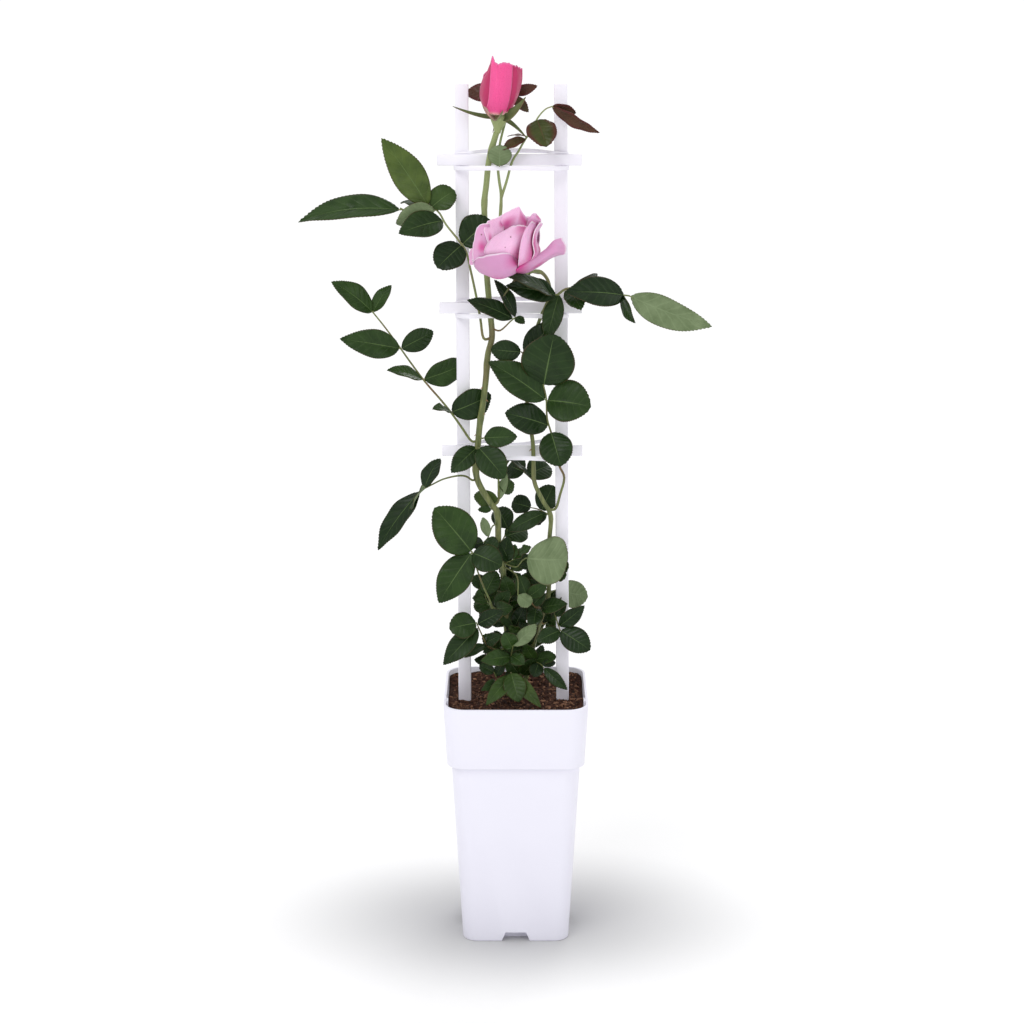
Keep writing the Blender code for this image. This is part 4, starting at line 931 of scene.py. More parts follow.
def leaf_back(name, pale, paler, margin, roughness):
    """Underside: matte, pale, with raised light veins."""
    material, tree, shader = new_finish(name, Roughness=roughness, Specular_IOR_Level=0.2)
    shades = place_group(tree, mottle, First=pale, Second=paler, Scale=60.0)
    lines = place_group(tree, veins, Midrib_Width=0.09)
    light = tuple(min(1.0, value * 1.5 + 0.02) for value in paler)
    veined = blend_colours(tree, lines["Relief"], shades["Colour"], light, weight=0.3)
    plug(tree, shader, Base_Color=blend_colours(tree, lines["Margin"], veined, margin, weight=0.5))
    add_bump(tree, shader, lines["Relief"], 0.5, 0.6 * MM)
    return material


LEAF_TOP = leaf_top("leaf_top", ((0.008, 0.023, 0.005), (0.024, 0.056, 0.010), (0.115, 0.165, 0.035)),
                    (0.07, 0.045, 0.02), (0.12, 0.19, 0.06), 0.38)
LEAF_BACK = leaf_back("leaf_back", (0.13, 0.18, 0.085), (0.19, 0.25, 0.13), (0.14, 0.11, 0.06), 0.7)
YOUNG_TOP = leaf_top("young_top", ((0.080, 0.014, 0.016), (0.074, 0.038, 0.020), (0.042, 0.068, 0.012)),
                     (0.095, 0.016, 0.018), (0.12, 0.05, 0.03), 0.36, margin_width=0.5)
YOUNG_BACK = leaf_back("young_back", (0.09, 0.04, 0.03), (0.11, 0.075, 0.045), (0.10, 0.025, 0.022), 0.6)

# %% Leaflets
FACING = Vector((0.0, -0.88, 0.47))  # the way the upper side of an unrolled leaflet looks
COLUMNS = 12
TOOTH_PITCH = 2.0 * MM
FEWEST_TEETH, MOST_TEETH = 7, 26
BLADE_THICKNESS = 0.5 * MM
draw = random.Random(23)


def blade_bmesh():
    """An empty bmesh for blades, with a UV map and a tone on each point."""
    bm = bmesh.new()
    bm.loops.layers.uv.new("UVMap")
    bm.verts.layers.float.new("tone")
    return bm


def lay_grid(bm, columns, rows, place, tone):
    """Adds a grid laid out by place(u, v, row), with its own UV map and tone."""
    tones = bm.verts.layers.float["tone"]
    made = bmesh.ops.create_grid(bm, x_segments=columns, y_segments=rows, size=1, calc_uvs=True)
    for vertex in made["verts"]:
        u, v = vertex.co.x, (vertex.co.y + 1) / 2
        vertex.co = place(u, v, round(v * rows))
        vertex[tones] = tone
    return made["verts"]


def blade_axes(base, tip):
    """The way a blade points, the way its upper side looks, and its length."""
    forward = (tip - base).normalized()
    return forward, (FACING - FACING.dot(forward) * forward).normalized(), (tip - base).length


def blade_shape(ratio):
    """Half width along a blade, as a share of its widest; narrow blades taper, wide ones are round."""
    wide = within((ratio - 0.45) / 0.4)
    low, bend, high = 0.62 - 0.19 * wide, 1.5 + 0.6 * wide, 1.05 - 0.33 * wide
    peak = max((i / 40) ** low * (1 - (i / 40) ** bend) ** high for i in range(1, 40))
    return lambda v: max(v, 0.004) ** low * max(0.0, 1 - v**bend) ** high / peak


def add_leaflet(bm, base, tip, width, roll, tone):
    """One toothed, veined leaflet from its base to its tip."""
    forward, up, length = blade_axes(base, tip)
    up.rotate(Matrix.Rotation(math.radians(roll), 3, forward))
    across = forward.cross(up).normalized()
    rows = 2 * within(round(length / TOOTH_PITCH), FEWEST_TEETH, MOST_TEETH) + 1
    depth = 0.42 * length / rows + 0.1 * MM
    shape = blade_shape(width / length)
    fold = draw.uniform(0.12, 0.32)
    curl = draw.uniform(-0.03, 0.07) * length
    wave, beat, start = draw.uniform(0.4, 1.3) * MM, draw.uniform(1.4, 2.6), draw.uniform(0, 6.3)
    twist = draw.uniform(-0.2, 0.2)
    quilting = 0.34 * MM * min(2, width / (10 * MM))

    def place(u, v, row):
        """The half width with its tooth, lifted by arch, cup, quilting, ripple and twist."""
        side = abs(u)
        half = 0.15 * MM + width / 2 * shape(v) + 0.35 * MM * max(0.0, 1 - 8 * v)
        tooth = depth * (side > 0.99) * (row % 2) * (0 < row < rows)
        phase = VEIN_PAIRS * (v - VEIN_SLANT * side**VEIN_BEND)
        quilt = -quilting * math.cos(2 * math.pi * phase) * side * (1 - side**3)
        arch = 0.24 * length * v * (1 - v) - curl * v**3
        ripple = wave * side * side * math.sin(start + beat * 2 * math.pi * v + (u > 0) * 1.7)
        cup = fold * side * half * (1.25 - 0.5 * side)
        lift = arch + cup + quilt + ripple * min(1, half / (6 * MM)) + twist * u * half * v
        run = v * length + tooth * 1.3
        return base + forward * run + across * (u * (half + tooth * 0.5)) + up * lift

    lay_grid(bm, COLUMNS, rows, place, tone)


# %% Stalks, and leaves made of both
ROUTES = {name: [smoothed(in_metres(points))] for name, (points, *_) in CANES.items()}
ROUTES["shoot_top"] = [smoothed(in_metres(points)) for points in (SHOOT_TOP_LEFT, SHOOT_TOP_RIGHT)]
# Single leaflets with their own tone: some are lighter as a painted sheen, where the leaf shone; others are a
# lighter green of their own.
SHEEN_AND_TONE_LEAFLETS = {  # tones of single leaflets, by tip
    (-125, -25, 794): 0.75, (-58, -10, 745): 0.6, (-79, -34, 443): 0.45, (3, -34, 246): 0.6,
    (-29, -42, 246): 0.6, (28, -34, 787): 0.85,
}


def along(route, share):
    """The point a share of the way along a route."""
    lengths = run_lengths(route)
    goal = share * lengths[-1]
    for a, b, start, end in zip(route, route[1:], lengths, lengths[1:]):
        if goal <= end:
            return a.lerp(b, (goal - start) / (end - start))
    return route[-1].copy()


def nearest_on(carrier, place):
    """The point of a cane or shoot that lies nearest to a place."""
    spots = [point for route in ROUTES[carrier] for point in route]
    return min(spots, key=lambda point: (point - place).length)


def sheet_with_stalks(name, bm, finishes, runs):
    """Thickens a bmesh of blades and joins round stalks to it, which take the third finish."""
    blades = thicken(name, bm, BLADE_THICKNESS, finishes)
    bm = bmesh.new()
    bm.from_mesh(blades.data)
    blade_faces = len(bm.faces)
    bm.from_mesh(tube_mesh(name, runs, 2))
    bm.faces.ensure_lookup_table()
    for face in bm.faces[blade_faces:]:
        face.material_index = 2
    bm.to_mesh(blades.data)
    bm.free()
    return blades


def grow_leaf(bm, runs, carrier, radius, stalk, leaflets, tone, spread):
    """Adds a compound leaf: a tapering stalk that starts inside its cane, leaflet stalks and blades."""
    points = in_metres(stalk)
    points[0] = nearest_on(carrier, points[1])
    route = smoothed(points, 4)
    runs.append((route, [radius * MM * (1.15 - 0.5 * i / (len(route) - 1)) for i in range(len(route))]))
    for share, tip, width, roll in leaflets:
        shade = SHEEN_AND_TONE_LEAFLETS.get(tuple(tip), within(tone + draw.uniform(-spread, spread)))
        root = along(route, min(share, 0.985))
        tip = Vector(tip) * MM
        base = root.lerp(tip, 0.035)
        rib = [root, base, root.lerp(tip, 0.06)]
        runs.append((rib, [radius * 0.62 * MM, radius * 0.55 * MM, 0.3 * MM]))
        add_leaflet(bm, base, tip, width * MM, roll, shade)


# %% The leaves: name, carrier, stalk radius, stalk points, then leaflets as
# (share along the stalk, tip, width, roll in degrees), in millimetres
LEAVES = (
    ("leaf_upper_left", "cane_left", 1.2,
     [(-27, -12, 591), (-31, -14, 605), (-34, -14, 624), (-38, -14, 646), (-43, -16, 670), (-47, -16, 687),
      (-54, -15, 698), (-66, -14, 713), (-74, -15, 726), (-87, -16, 730), (-102, -17, 726),
      (-109, -18, 729)],
     [(1.0, (-207, -8, 719), 32, 25), (0.84, (-125, -25, 794), 32, 0), (0.82, (-110, 14, 732), 21, 40),
      (0.83, (-58, -10, 745), 25, 0), (0.73, (-109, -46, 708), 28, 0), (0.8, (-112, -34, 716), 24, 115),
      (0.57, (-74, -34, 674), 30, 0), (0.57, (-24, -11, 717), 33, 0)]),
    ("leaf_left", "cane_left", 1.1,
     [(-38, -14, 500), (-43, -15, 505), (-52, -16, 518), (-62, -14, 532), (-73, -10, 545), (-88, -7, 562),
      (-102, -6, 581), (-111, -6, 594), (-125, -8, 614), (-138, -10, 631)],
     [(1.0, (-173, -26, 661), 24, 15), (1.0, (-120, -2, 655), 16, -20), (0.72, (-166, -30, 607), 27, -15),
      (0.72, (-80, 10, 608), 21, 25), (0.5, (-123, -28, 576), 17, 30), (0.5, (-48, 15, 577), 26, 45),
      (0.25, (-79, -36, 541), 13, 35), (0.25, (-24, -3, 548), 29, 32)]),
    ("leaf_lower_left", "cane_left", 1.0,
     [(-37, -13, 462), (-42, -15, 466), (-48, -16, 470), (-56, -17, 471), (-70, -18, 468), (-81, -20, 463),
      (-93, -22, 457)],
     [(1.0, (-134, -30, 400), 23, 25), (0.92, (-74, -6, 486), 19, -30), (0.92, (-99, -50, 447), 23, 78)]),
    ("leaf_low_rung", "cane_left", 1.0,
     [(-37, -16, 498), (-37, -22, 499), (-36, -27, 501)],
     [(0.0, (-62, -34, 478), 21, 0), (1.0, (-11, -44, 475), 28, 0)]),
    ("leaf_low_rung_right", "cane_left", 0.9,
     [(-35, -16, 506), (-33, -22, 509), (-30, -24, 510)],
     [(0.88, (1, -34, 513), 20, 10)]),
    ("leaf_mid_rung", "cane_left", 0.9,
     [(-24, -13, 600), (-15, -18, 613), (-5, -25, 623), (0, -27, 627)],
     [(0.91, (-46, -33, 644), 19, 10), (1.0, (8, -40, 623), 8, 0), (1.0, (-20, -30, 663), 15, 30)]),
    ("leaf_right", "cane_right", 1.2,
     [(30, -17, 642), (38, -22, 647), (47, -22, 653), (61, -20, 654), (77, -18, 651), (93, -17, 648),
      (108, -17, 646)],
     [(1.0, (188, -5, 615), 31, 180), (0.95, (46, -46, 653), 31, 0), (0.91, (111, -44, 624), 13, 60),
      (0.3, (80, 8, 663), 14, 50), (0.26, (61, -44, 637), 19, 0), (0.06, (-11, -78, 672), 16, 15),
      (0.1, (-9, -50, 660), 22, -10), (0.13, (29, -29, 605), 19, 0)]),
    ("leaf_centre_upper", "cane_right", 0.9,
     [(13, -11, 586), (8, -18, 590), (5, -21, 593)],
     [(0.77, (39, -18, 622), 23, 0), (1.0, (-24, -18, 595), 21, -28)]),
    ("leaf_centre", "cane_right", 1.2,
     [(36, -8, 431), (39, -10, 437), (43, -12, 451), (47, -12, 468), (42, -11, 480), (37, -12, 500),
      (34, -14, 513), (30, -18, 528), (29, -21, 548), (26, -22, 562)],
     [(1.0, (36, -34, 612), 51, 0), (0.88, (-25, -28, 585), 32, 0), (0.88, (71, -36, 543), 42, 0),
      (0.69, (-11, -30, 535), 30, 0), (0.64, (43, -30, 483), 32, 0)]),
    ("leaf_back_low", "cane_right", 0.8,
     [(21, -8, 461), (14, 2, 465), (8, 8, 469)],
     [(1.0, (-7, 20, 473), 26, 0), (0.79, (33, 22, 473), 26, 0), (0.49, (-7, -4, 485), 9, 60)]),
    ("leaf_fork", "cane_right", 0.8,
     [(32, -4, 426), (27, 4, 430), (21, 8, 432), (14, 10, 433)],
     [(0.96, (-4, 18, 436), 19, 0), (0.38, (-8, -6, 413), 17, 0), (0.24, (18, 12, 417), 12, 0),
      (0.57, (37, 16, 454), 24, 0)]),
    ("leaf_round_left", "cane_left", 1.1,
     [(-16, 4, 298), (-20, -4, 322), (-25, -12, 342), (-31, -18, 358), (-37, -24, 376), (-43, -30, 399)],
     [(1.0, (-79, -34, 443), 42, 0), (0.99, (-75, -44, 351), 32, 0), (0.98, (-14, -40, 387), 28, 0)]),
    ("leaf_small_pale", "cane_left", 0.7,
     [(-20, -7, 426), (-23, -11, 419), (-27, -14, 409), (-32, -17, 404)],
     [(0.73, (-32, -20, 430), 9, 180), (1.0, (-43, -22, 403), 12, 0), (0.98, (-18, -18, 398), 18, 0)]),
    ("leaf_small_left", "cane_left", 0.6,
     [(-21, -8, 434), (-24, -12, 436)],
     [(1.0, (-37, -16, 437), 7, 0)]),
    ("shoot_centre", "cane_left", 1.3,
     [(-17, -5, 432), (-17, -6, 444), (-17, -5, 462), (-16, -4, 478)],
     [(0.22, (-41, 6, 445), 17, -28), (0.2, (-9, -10, 472), 8, 180), (1.0, (-10, 4, 490), 14, 0),
      (0.61, (-2, 6, 451), 15, 0)]),
    ("leaf_node", "cane_left", 0.8,
     [(-8, 1, 373), (-3, -6, 377), (2, -12, 379), (6, -18, 386), (10, -22, 390)],
     [(1.0, (51, -52, 396), 48, 180), (0.05, (-8, -8, 407), 18, 0), (0.63, (15, -10, 377), 7, 0)]),
    ("stalk_hanging", "cane_left", 0.8,
     [(-6, -4, 372), (-2, -10, 372), (2, -15, 366), (2, -18, 351)],
     [(1.0, (15, -26, 343), 14, 180)]),
    ("leaf_behind_right", "cane_right", 0.8,
     [(34, 6, 351), (39, 11, 348), (44, 14, 347)],
     [(0.82, (72, 16, 340), 28, 180), (0.65, (33, 28, 327), 16, 0)]),
    ("leaf_low_right", "cane_right", 0.9,
     [(34, 2, 344), (37, -6, 335), (40, -12, 325), (44, -16, 314)],
     [(1.0, (73, -26, 297), 25, 0), (0.88, (67, -22, 341), 16, 20), (1.0, (21, -28, 307), 17, 0),
      (0.6, (50, -16, 342), 9, 0)]),
    ("leaf_low_left", "cane_left", 0.9,
     [(-9, 11, 281), (-18, 2, 289), (-28, -8, 296), (-34, -16, 311), (-39, -20, 324)],
     [(1.0, (-65, -28, 320), 26, 0), (0.9, (-71, -36, 285), 23, 0), (0.96, (-12, -26, 337), 16, 0),
      (0.57, (-15, -22, 311), 13, 0), (0.52, (-50, -28, 291), 10, 20)]),
    ("leaf_low_middle", "cane_left", 0.8,
     [(-6, 9, 273), (-5, -2, 282), (-4, -12, 291), (-3, -18, 299)],
     [(1.0, (21, -26, 324), 14, 180), (0.91, (-11, -24, 314), 17, 0), (0.49, (-35, -30, 287), 17, 0),
      (0.56, (8, -20, 281), 14, 0)]),
    ("leaf_crown_left", "cane_left", 0.7,
     [(-12, 6, 321), (-20, -2, 333), (-28, 0, 339), (-31, 4, 346)],
     [(1.0, (-19, 6, 369), 20, 0), (0.76, (-42, -4, 342), 7, 0), (0.42, (-6, -12, 354), 15, 0),
      (0.42, (-4, -18, 339), 15, 30)]),
    ("leaf_crown_right", "cane_right", 0.8,
     [(27, 5, 323), (20, -3, 334), (14, -6, 343), (10, -8, 349)],
     [(1.0, (3, -6, 368), 15, 0), (0.88, (30, -14, 362), 14, 20), (0.58, (29, -12, 351), 12, 0),
      (0.41, (17, -20, 318), 16, 0), (0.21, (50, -24, 344), 16, 0)]),
    ("leaf_soil_left", "cane_left", 0.7,
     [(-5, 10, 249), (-10, 0, 242), (-16, -10, 257), (-22, -14, 271)],
     [(1.0, (-36, -14, 278), 12, 0), (0.73, (-34, -34, 258), 11, 0), (0.89, (-12, -13, 281), 10, 0)]),
    ("leaf_soil_front", "cane_left", 0.8,
     [(-3, 9, 252), (-3, -6, 264), (-5, -16, 271)],
     [(1.0, (3, -34, 246), 22, 0), (0.8, (-29, -42, 246), 16, 0), (0.8, (25, -40, 242), 14, 0)]),
    ("leaf_soil_right", "cane_right", 0.7,
     [(14, 14, 266), (20, 6, 275), (25, -2, 275), (28, -8, 273)],
     [(1.0, (51, -22, 255), 12, 15), (0.76, (40, 4, 275), 8, 0), (0.58, (18, -12, 265), 14, 0)]),
    ("leaf_back_right", "cane_right", 0.8,
     [(20, 16, 299), (25, 24, 303), (31, 32, 309)],
     [(1.0, (45, 44, 324), 26, 0), (0.68, (15, 46, 309), 22, 0), (0.88, (51, 36, 299), 22, 0)]),
    ("leaf_back_left", "cane_left", 0.8,
     [(-9, 16, 309), (-16, 26, 315), (-23, 34, 321)],
     [(1.0, (-38, 44, 333), 26, 0), (0.81, (-2, 46, 332), 24, 0), (0.81, (-36, 40, 307), 22, 0)]),
    ("leaf_back_middle", "cane_left", 0.8,
     [(-15, 5, 395), (-12, 14, 401), (-8, 22, 409)],
     [(1.0, (-18, 34, 427), 22, 0), (0.63, (12, 34, 404), 22, 0)]),
    ("leaf_young_right", "shoot_top", 0.9,
     [(3, -14, 782), (9, -14, 793), (16, -14, 803), (20, -15, 812), (27, -16, 820), (34, -16, 823)],
     [(0.64, (28, -34, 787), 28, 0), (1.0, (56, -14, 817), 13, 50), (1.0, (78, -26, 800), 13, 60),
      (0.26, (-13, -24, 784), 11, 20), (0.3, (-8, -6, 795), 8, 60)]),
    ("leaf_young_left", "shoot_top", 0.8,
     [(-9, -5, 817), (-4.9, 4.6, 831.2), (-4, 6, 834)],
     [(1.0, (20, 6, 841), 10, 30), (0.68, (12, 4, 817), 10, 0), (0.75, (-50, 16, 834), 21, 0)]),
    ("leaf_top_rung", "shoot_top", 0.8,
     [(-16, -16, 779), (-16, -20, 773), (-15.5, -24, 768)],
     [(1.0, (-15, -24, 788), 22, 180)]),
)

# %% Build the leaves
LEAF_TONES = {
    "leaf_upper_left": 0.2, "leaf_left": 0.25, "leaf_top_rung": 0.6, "shoot_centre": 0.5,
    "leaf_crown_left": 0.35, "leaf_crown_right": 0.35, "leaf_soil_front": 0.55, "leaf_low_middle": 0.45,
}
PLAIN_TONE, YOUNG_TONE = 0.14, 0.5
TONE_SPREAD = 0.2
GREEN_LEAF = [LEAF_TOP, LEAF_BACK, STALK_SKIN]
YOUNG_LEAF = [YOUNG_TOP, YOUNG_BACK, STALK_SKIN]

for name, carrier, radius, stalk, leaflets in LEAVES:
    young = name.startswith("leaf_young")
    tone = YOUNG_TONE if young else LEAF_TONES.get(name, PLAIN_TONE)
    bm, runs = blade_bmesh(), []
    grow_leaf(bm, runs, carrier, radius, stalk, leaflets, tone, TONE_SPREAD)
    leaf = sheet_with_stalks("rose_" + name, bm, YOUNG_LEAF if young else GREEN_LEAF, runs)
    hand_over(leaf, [name])

# %% [markdown]
# ### Undergrowth
#
# Low down, the real rose is a thicket of small dark leaves. Their places don't matter one by one, so
# seeded twigs fill the space between the canes, each with a few leaflets round its end.

# %% Seeded twigs low on the canes
TWIGS = 26
TWIG_LOW, TWIG_HIGH, TIP_LOW = 250, 378, 245  # heights, in millimetres
UNDERGROWTH_HALF = 44  # the thicket's half width, in millimetres
UNDERGROWTH_FRONT, UNDERGROWTH_BACK = -30, 40
TWIG_RADIUS, TWIG_TONE, TWIG_SPREAD = 0.8, 0.3, 0.3


def grow_twig(bm, runs, index):
    """A short bent twig with three or five leaflets, in millimetres."""
    carrier = "cane_left" if index % 2 else "cane_right"
    height = TWIG_LOW + (TWIG_HIGH - TWIG_LOW) * (index + draw.random()) / TWIGS
    root = nearest_on(carrier, Vector((0, 0.01, height * MM))) / MM
    angle = draw.uniform(-0.35, 1.35) * math.pi
    reach = draw.uniform(9, 24)
    end = root + Vector((math.cos(angle) * reach, math.sin(angle) * reach * 0.8, draw.uniform(4, 16)))
    end.x = within(end.x, -UNDERGROWTH_HALF, UNDERGROWTH_HALF)
    end.y = within(end.y, UNDERGROWTH_FRONT, UNDERGROWTH_BACK)
    middle = root.lerp(end, 0.5) + Vector((0, 0, draw.uniform(-2, 3)))
    leaflets = []
    for side in ((0, -1, 1) if draw.random() < 0.6 else (0, -1, 1, -1.6, 1.6)):
        turn = side * draw.uniform(0.7, 1.1)
        heading = math.atan2(end.z - root.z, end.x - root.x) + turn
        length = draw.uniform(12, 23)
        tip = end + Vector((math.cos(heading) * length, draw.uniform(-8, 6), math.sin(heading) * length))
        tip.x = within(tip.x, -UNDERGROWTH_HALF - 6, UNDERGROWTH_HALF + 6)
        tip.z = max(TIP_LOW, tip.z)
        share = {0: 1.0, 1: 0.9}.get(abs(side), 0.5)
        leaflets.append((share, tip, length * draw.uniform(0.55, 0.85), draw.uniform(-50, 50)))
    grow_leaf(bm, runs, carrier, TWIG_RADIUS, [root, middle, end], leaflets, TWIG_TONE, TWIG_SPREAD)


bm, runs = blade_bmesh(), []
for index in range(TWIGS):
    grow_twig(bm, runs, index)
hand_over(sheet_with_stalks("rose_undergrowth", bm, GREEN_LEAF, runs))

# %% [markdown]
# ## Flowers
#
# The petals seen from the front are shaped one by one: each is a small net of chosen points, from its root to
# its rim, and a smooth surface is drawn through them. Those at the back and in the middle follow a formula:
# the middle line of a petal leaves the flower's axis at one angle and ends at another, and its width wraps
# round that axis, so inner petals roll into a cone.
#
# Two numbers on each point drive one velvet material: "tone" goes from mauve to pale, and the second paints
# shade as a dark magenta into the bloom's root and hollows, and gives the bud's root its cream colour. The
# rim is nearly white: partly the petal's own paler edge, partly a painted highlight on it.

# %% Petal finishes
SPECK_BROWN = (0.16, 0.05, 0.06)
SPECK_SIZE = 1.0 * MM
FLATTENED = (1.0, 0.1, 1.0)  # a speck reaches through the depth of its petal
BLOOM_SPECKS = ((-32, -55, 708), (-5, -75, 708), (-10, -77, 699))


def petal_finish(name, mauve, pale, shade_and_root, rim, specks=()):
    """Velvety petal: mauve or pale by tone, painted shade at the root and in the hollows (in the bud a cream
    root), fine streaks and a light rim that is partly painted highlight.
    """
    material, tree, shader = new_finish(
        name, Roughness=0.5, Specular_IOR_Level=0.22, Sheen_Weight=0.08, Subsurface_Weight=0.12,
        Subsurface_Scale=0.003, Subsurface_Radius=(1.0, 0.35, 0.6)
    )
    marks = place_group(tree, flush)
    shade = blend_colours(tree, carried(tree, "tone"), mauve, pale)
    shade = blend_colours(tree, ramp(tree, marks["Streak"], 0.35, 0.7), shade, mauve, weight=0.07)
    speckle = ramp(tree, noise_value(tree, 1100.0, detail=2.0), 0.5, 0.75)
    shade = blend_colours(tree, speckle, shade, mauve, weight=0.3)
    # Painted shade: the bloom's root and hollows turn dark magenta; in the bud this colour is the cream of
    # its root.
    shade = blend_colours(tree, carried(tree, "shade_and_root"), shade, shade_and_root)
    # Light rim: the petal's own paler edge with a painted highlight on it.
    shade = blend_colours(tree, marks["Rim"], shade, rim, weight=0.85)
    for place in in_metres(specks):
        spot = ramp(tree, distance_from(tree, place, FLATTENED), 0.4 * SPECK_SIZE, SPECK_SIZE, 0.8, 0.0)
        shade = blend_colours(tree, spot, shade, SPECK_BROWN)
    plug(tree, shader, Base_Color=shade)
    add_bump(tree, shader, marks["Streak"], 0.08, 0.4 * MM)
    return material


# The third colour is the bloom's painted shade, a dark magenta, and the bud's cream root; the fourth is the
# rim.
BLOOM_SKIN = petal_finish("bloom_petal", (0.58, 0.25, 0.47), (0.90, 0.53, 0.76), (0.60, 0.045, 0.27),
                          (0.96, 0.84, 0.93), BLOOM_SPECKS)
BUD_SKIN = petal_finish("bud_petal", (0.42, 0.022, 0.095), (0.86, 0.095, 0.31), (0.86, 0.56, 0.48),
                        (0.80, 0.20, 0.42))

# %% Petals through a net of points, and petals by formula
PETAL_THICKNESS = 0.8 * MM
PETAL_COLUMNS, PETAL_ROWS = 20, 26
# Strength of the painted shade in a petal's spots.
PAINTED_SPOT_SHADE = 0.85
RIM_CURL = 35  # degrees that the rim of a wrapped petal bends back
WRAP_STEPS = 36


def smooth_step(value):
    """Eases a value from 0 to 1."""
    value = within(value)
    return value * value * (3 - 2 * value)


def add_petal(bm, tone, place):
    """Adds a petal laid out by place(u, v), which also says how much painted shade each point takes (in the
    bud, cream root colour), from 0 to 1.
    """
    depths = []

    def keep_depth(u, v, row):
        """Notes the share of painted shade and passes the place on; rows don't matter to a petal."""
        spot, depth = place(u, v)
        depths.append(depth)
        return spot

    vertices = lay_grid(bm, PETAL_COLUMNS, PETAL_ROWS, keep_depth, tone)
    shade_and_root_layer = bm.verts.layers.float["shade_and_root"]
    for vertex, depth in zip(vertices, depths):
        vertex[shade_and_root_layer] = depth


def net_petal(bm, tone, reach, ruffle, spots, net):
    """A petal through rows of points, with painted shade (in the bud, cream) at its root and at each (u, v,
    size) spot.
    """
    rows = [in_metres(row) for row in net]
    start = draw.uniform(0, 50)

    def place(u, v):
        """The smooth surface through the net, gently folded, with a ruffled edge."""
        near = max((1 - math.hypot(u - across, 2 * (v - up)) / size for across, up, size in spots), default=0)
        spot = curve_at([curve_at(points, (u + 1) / 2) for points in rows], v)
        edge = max(smooth_step((v - 0.75) / 0.25), smooth_step((abs(u) - 0.8) / 0.2))
        folds = noise.noise_vector(Vector((u * 2.6 + start, v * 2.6, 1.7))) * 0.5
        fine = noise.noise_vector(Vector((u * 6.0 + start, v * 1.5, 8.3)))
        # Share of painted shade: strongest at the root and in the spots.
        depth = max(smooth_step(1 - v / reach), PAINTED_SPOT_SHADE * smooth_step(near))
        return spot + folds * 1.1 * MM * v + fine * ruffle * edge * MM, depth

    add_petal(bm, tone, place)


def wrapped_petal(bm, spot, axis, shape, tone, shade_and_root_reach):
    """A cupped petal round an axis, from (azimuth, opening at the base, at the rim, length, width)."""
    azimuth, open_low, open_high, length, width = shape
    length, width = length * MM, width * MM
    side = Vector((1, 0, 0))
    side = (side - side.dot(axis) * axis).normalized()
    out = Matrix.Rotation(math.radians(azimuth), 3, axis) @ side
    centre = [(0.0, 2.5 * MM)]
    for i in range(WRAP_STEPS):
        t = (i + 0.5) / WRAP_STEPS
        curl = RIM_CURL * max(0.0, (t - 0.75) / 0.25) ** 2
        angle = math.radians(open_low + (open_high - open_low) * t + curl)
        rise, reach = centre[-1]
        step = length / WRAP_STEPS
        centre.append((rise + step * math.cos(angle), reach + step * math.sin(angle)))
    start = draw.uniform(0, 6.3)
    wave = draw.uniform(0.3, 0.9) * MM

    def place(u, v):
        """The middle line's point at this height, turned round the axis."""
        reached = within(v * (1 - 0.16 * u * u)) * WRAP_STEPS
        low = min(int(reached), WRAP_STEPS - 1)
        rise, reach = (a + (b - a) * (reached - low) for a, b in zip(centre[low], centre[low + 1]))
        half = width / 2 * (0.22 + 0.78 * math.sin(math.pi * min(1, v * 0.62 + 0.06)) ** 0.9)
        rim = Matrix.Rotation(u * half / max(abs(reach), 0.36 * width), 3, axis) @ out
        ripple = wave * v**3 * math.sin(start + 5.5 * u) + wave * 0.7 * u**4 * math.sin(start + 9 * v)
        at = spot + axis * (rise + 0.9 * MM + ripple * 0.4) + rim * (reach + ripple)
        # The second value is the share of painted shade near the root; in the bud, of cream.
        return at, smooth_step(1 - v / shade_and_root_reach)

    add_petal(bm, tone, place)


def add_flower(node, spot, nets, axis, wrapped, skin):
    """All petals of a flower as one piece."""
    bm = blade_bmesh()
    bm.verts.layers.float.new("shade_and_root")
    for tone, reach, ruffle, spots, net in nets.values():
        net_petal(bm, tone, reach, ruffle, spots, net)
    for tone, reach, shape in wrapped:
        wrapped_petal(bm, spot, axis, shape, tone, reach)
    flower = thicken(node.split("_")[0], bm, PETAL_THICKNESS, [skin])
    hand_over(flower, [node])
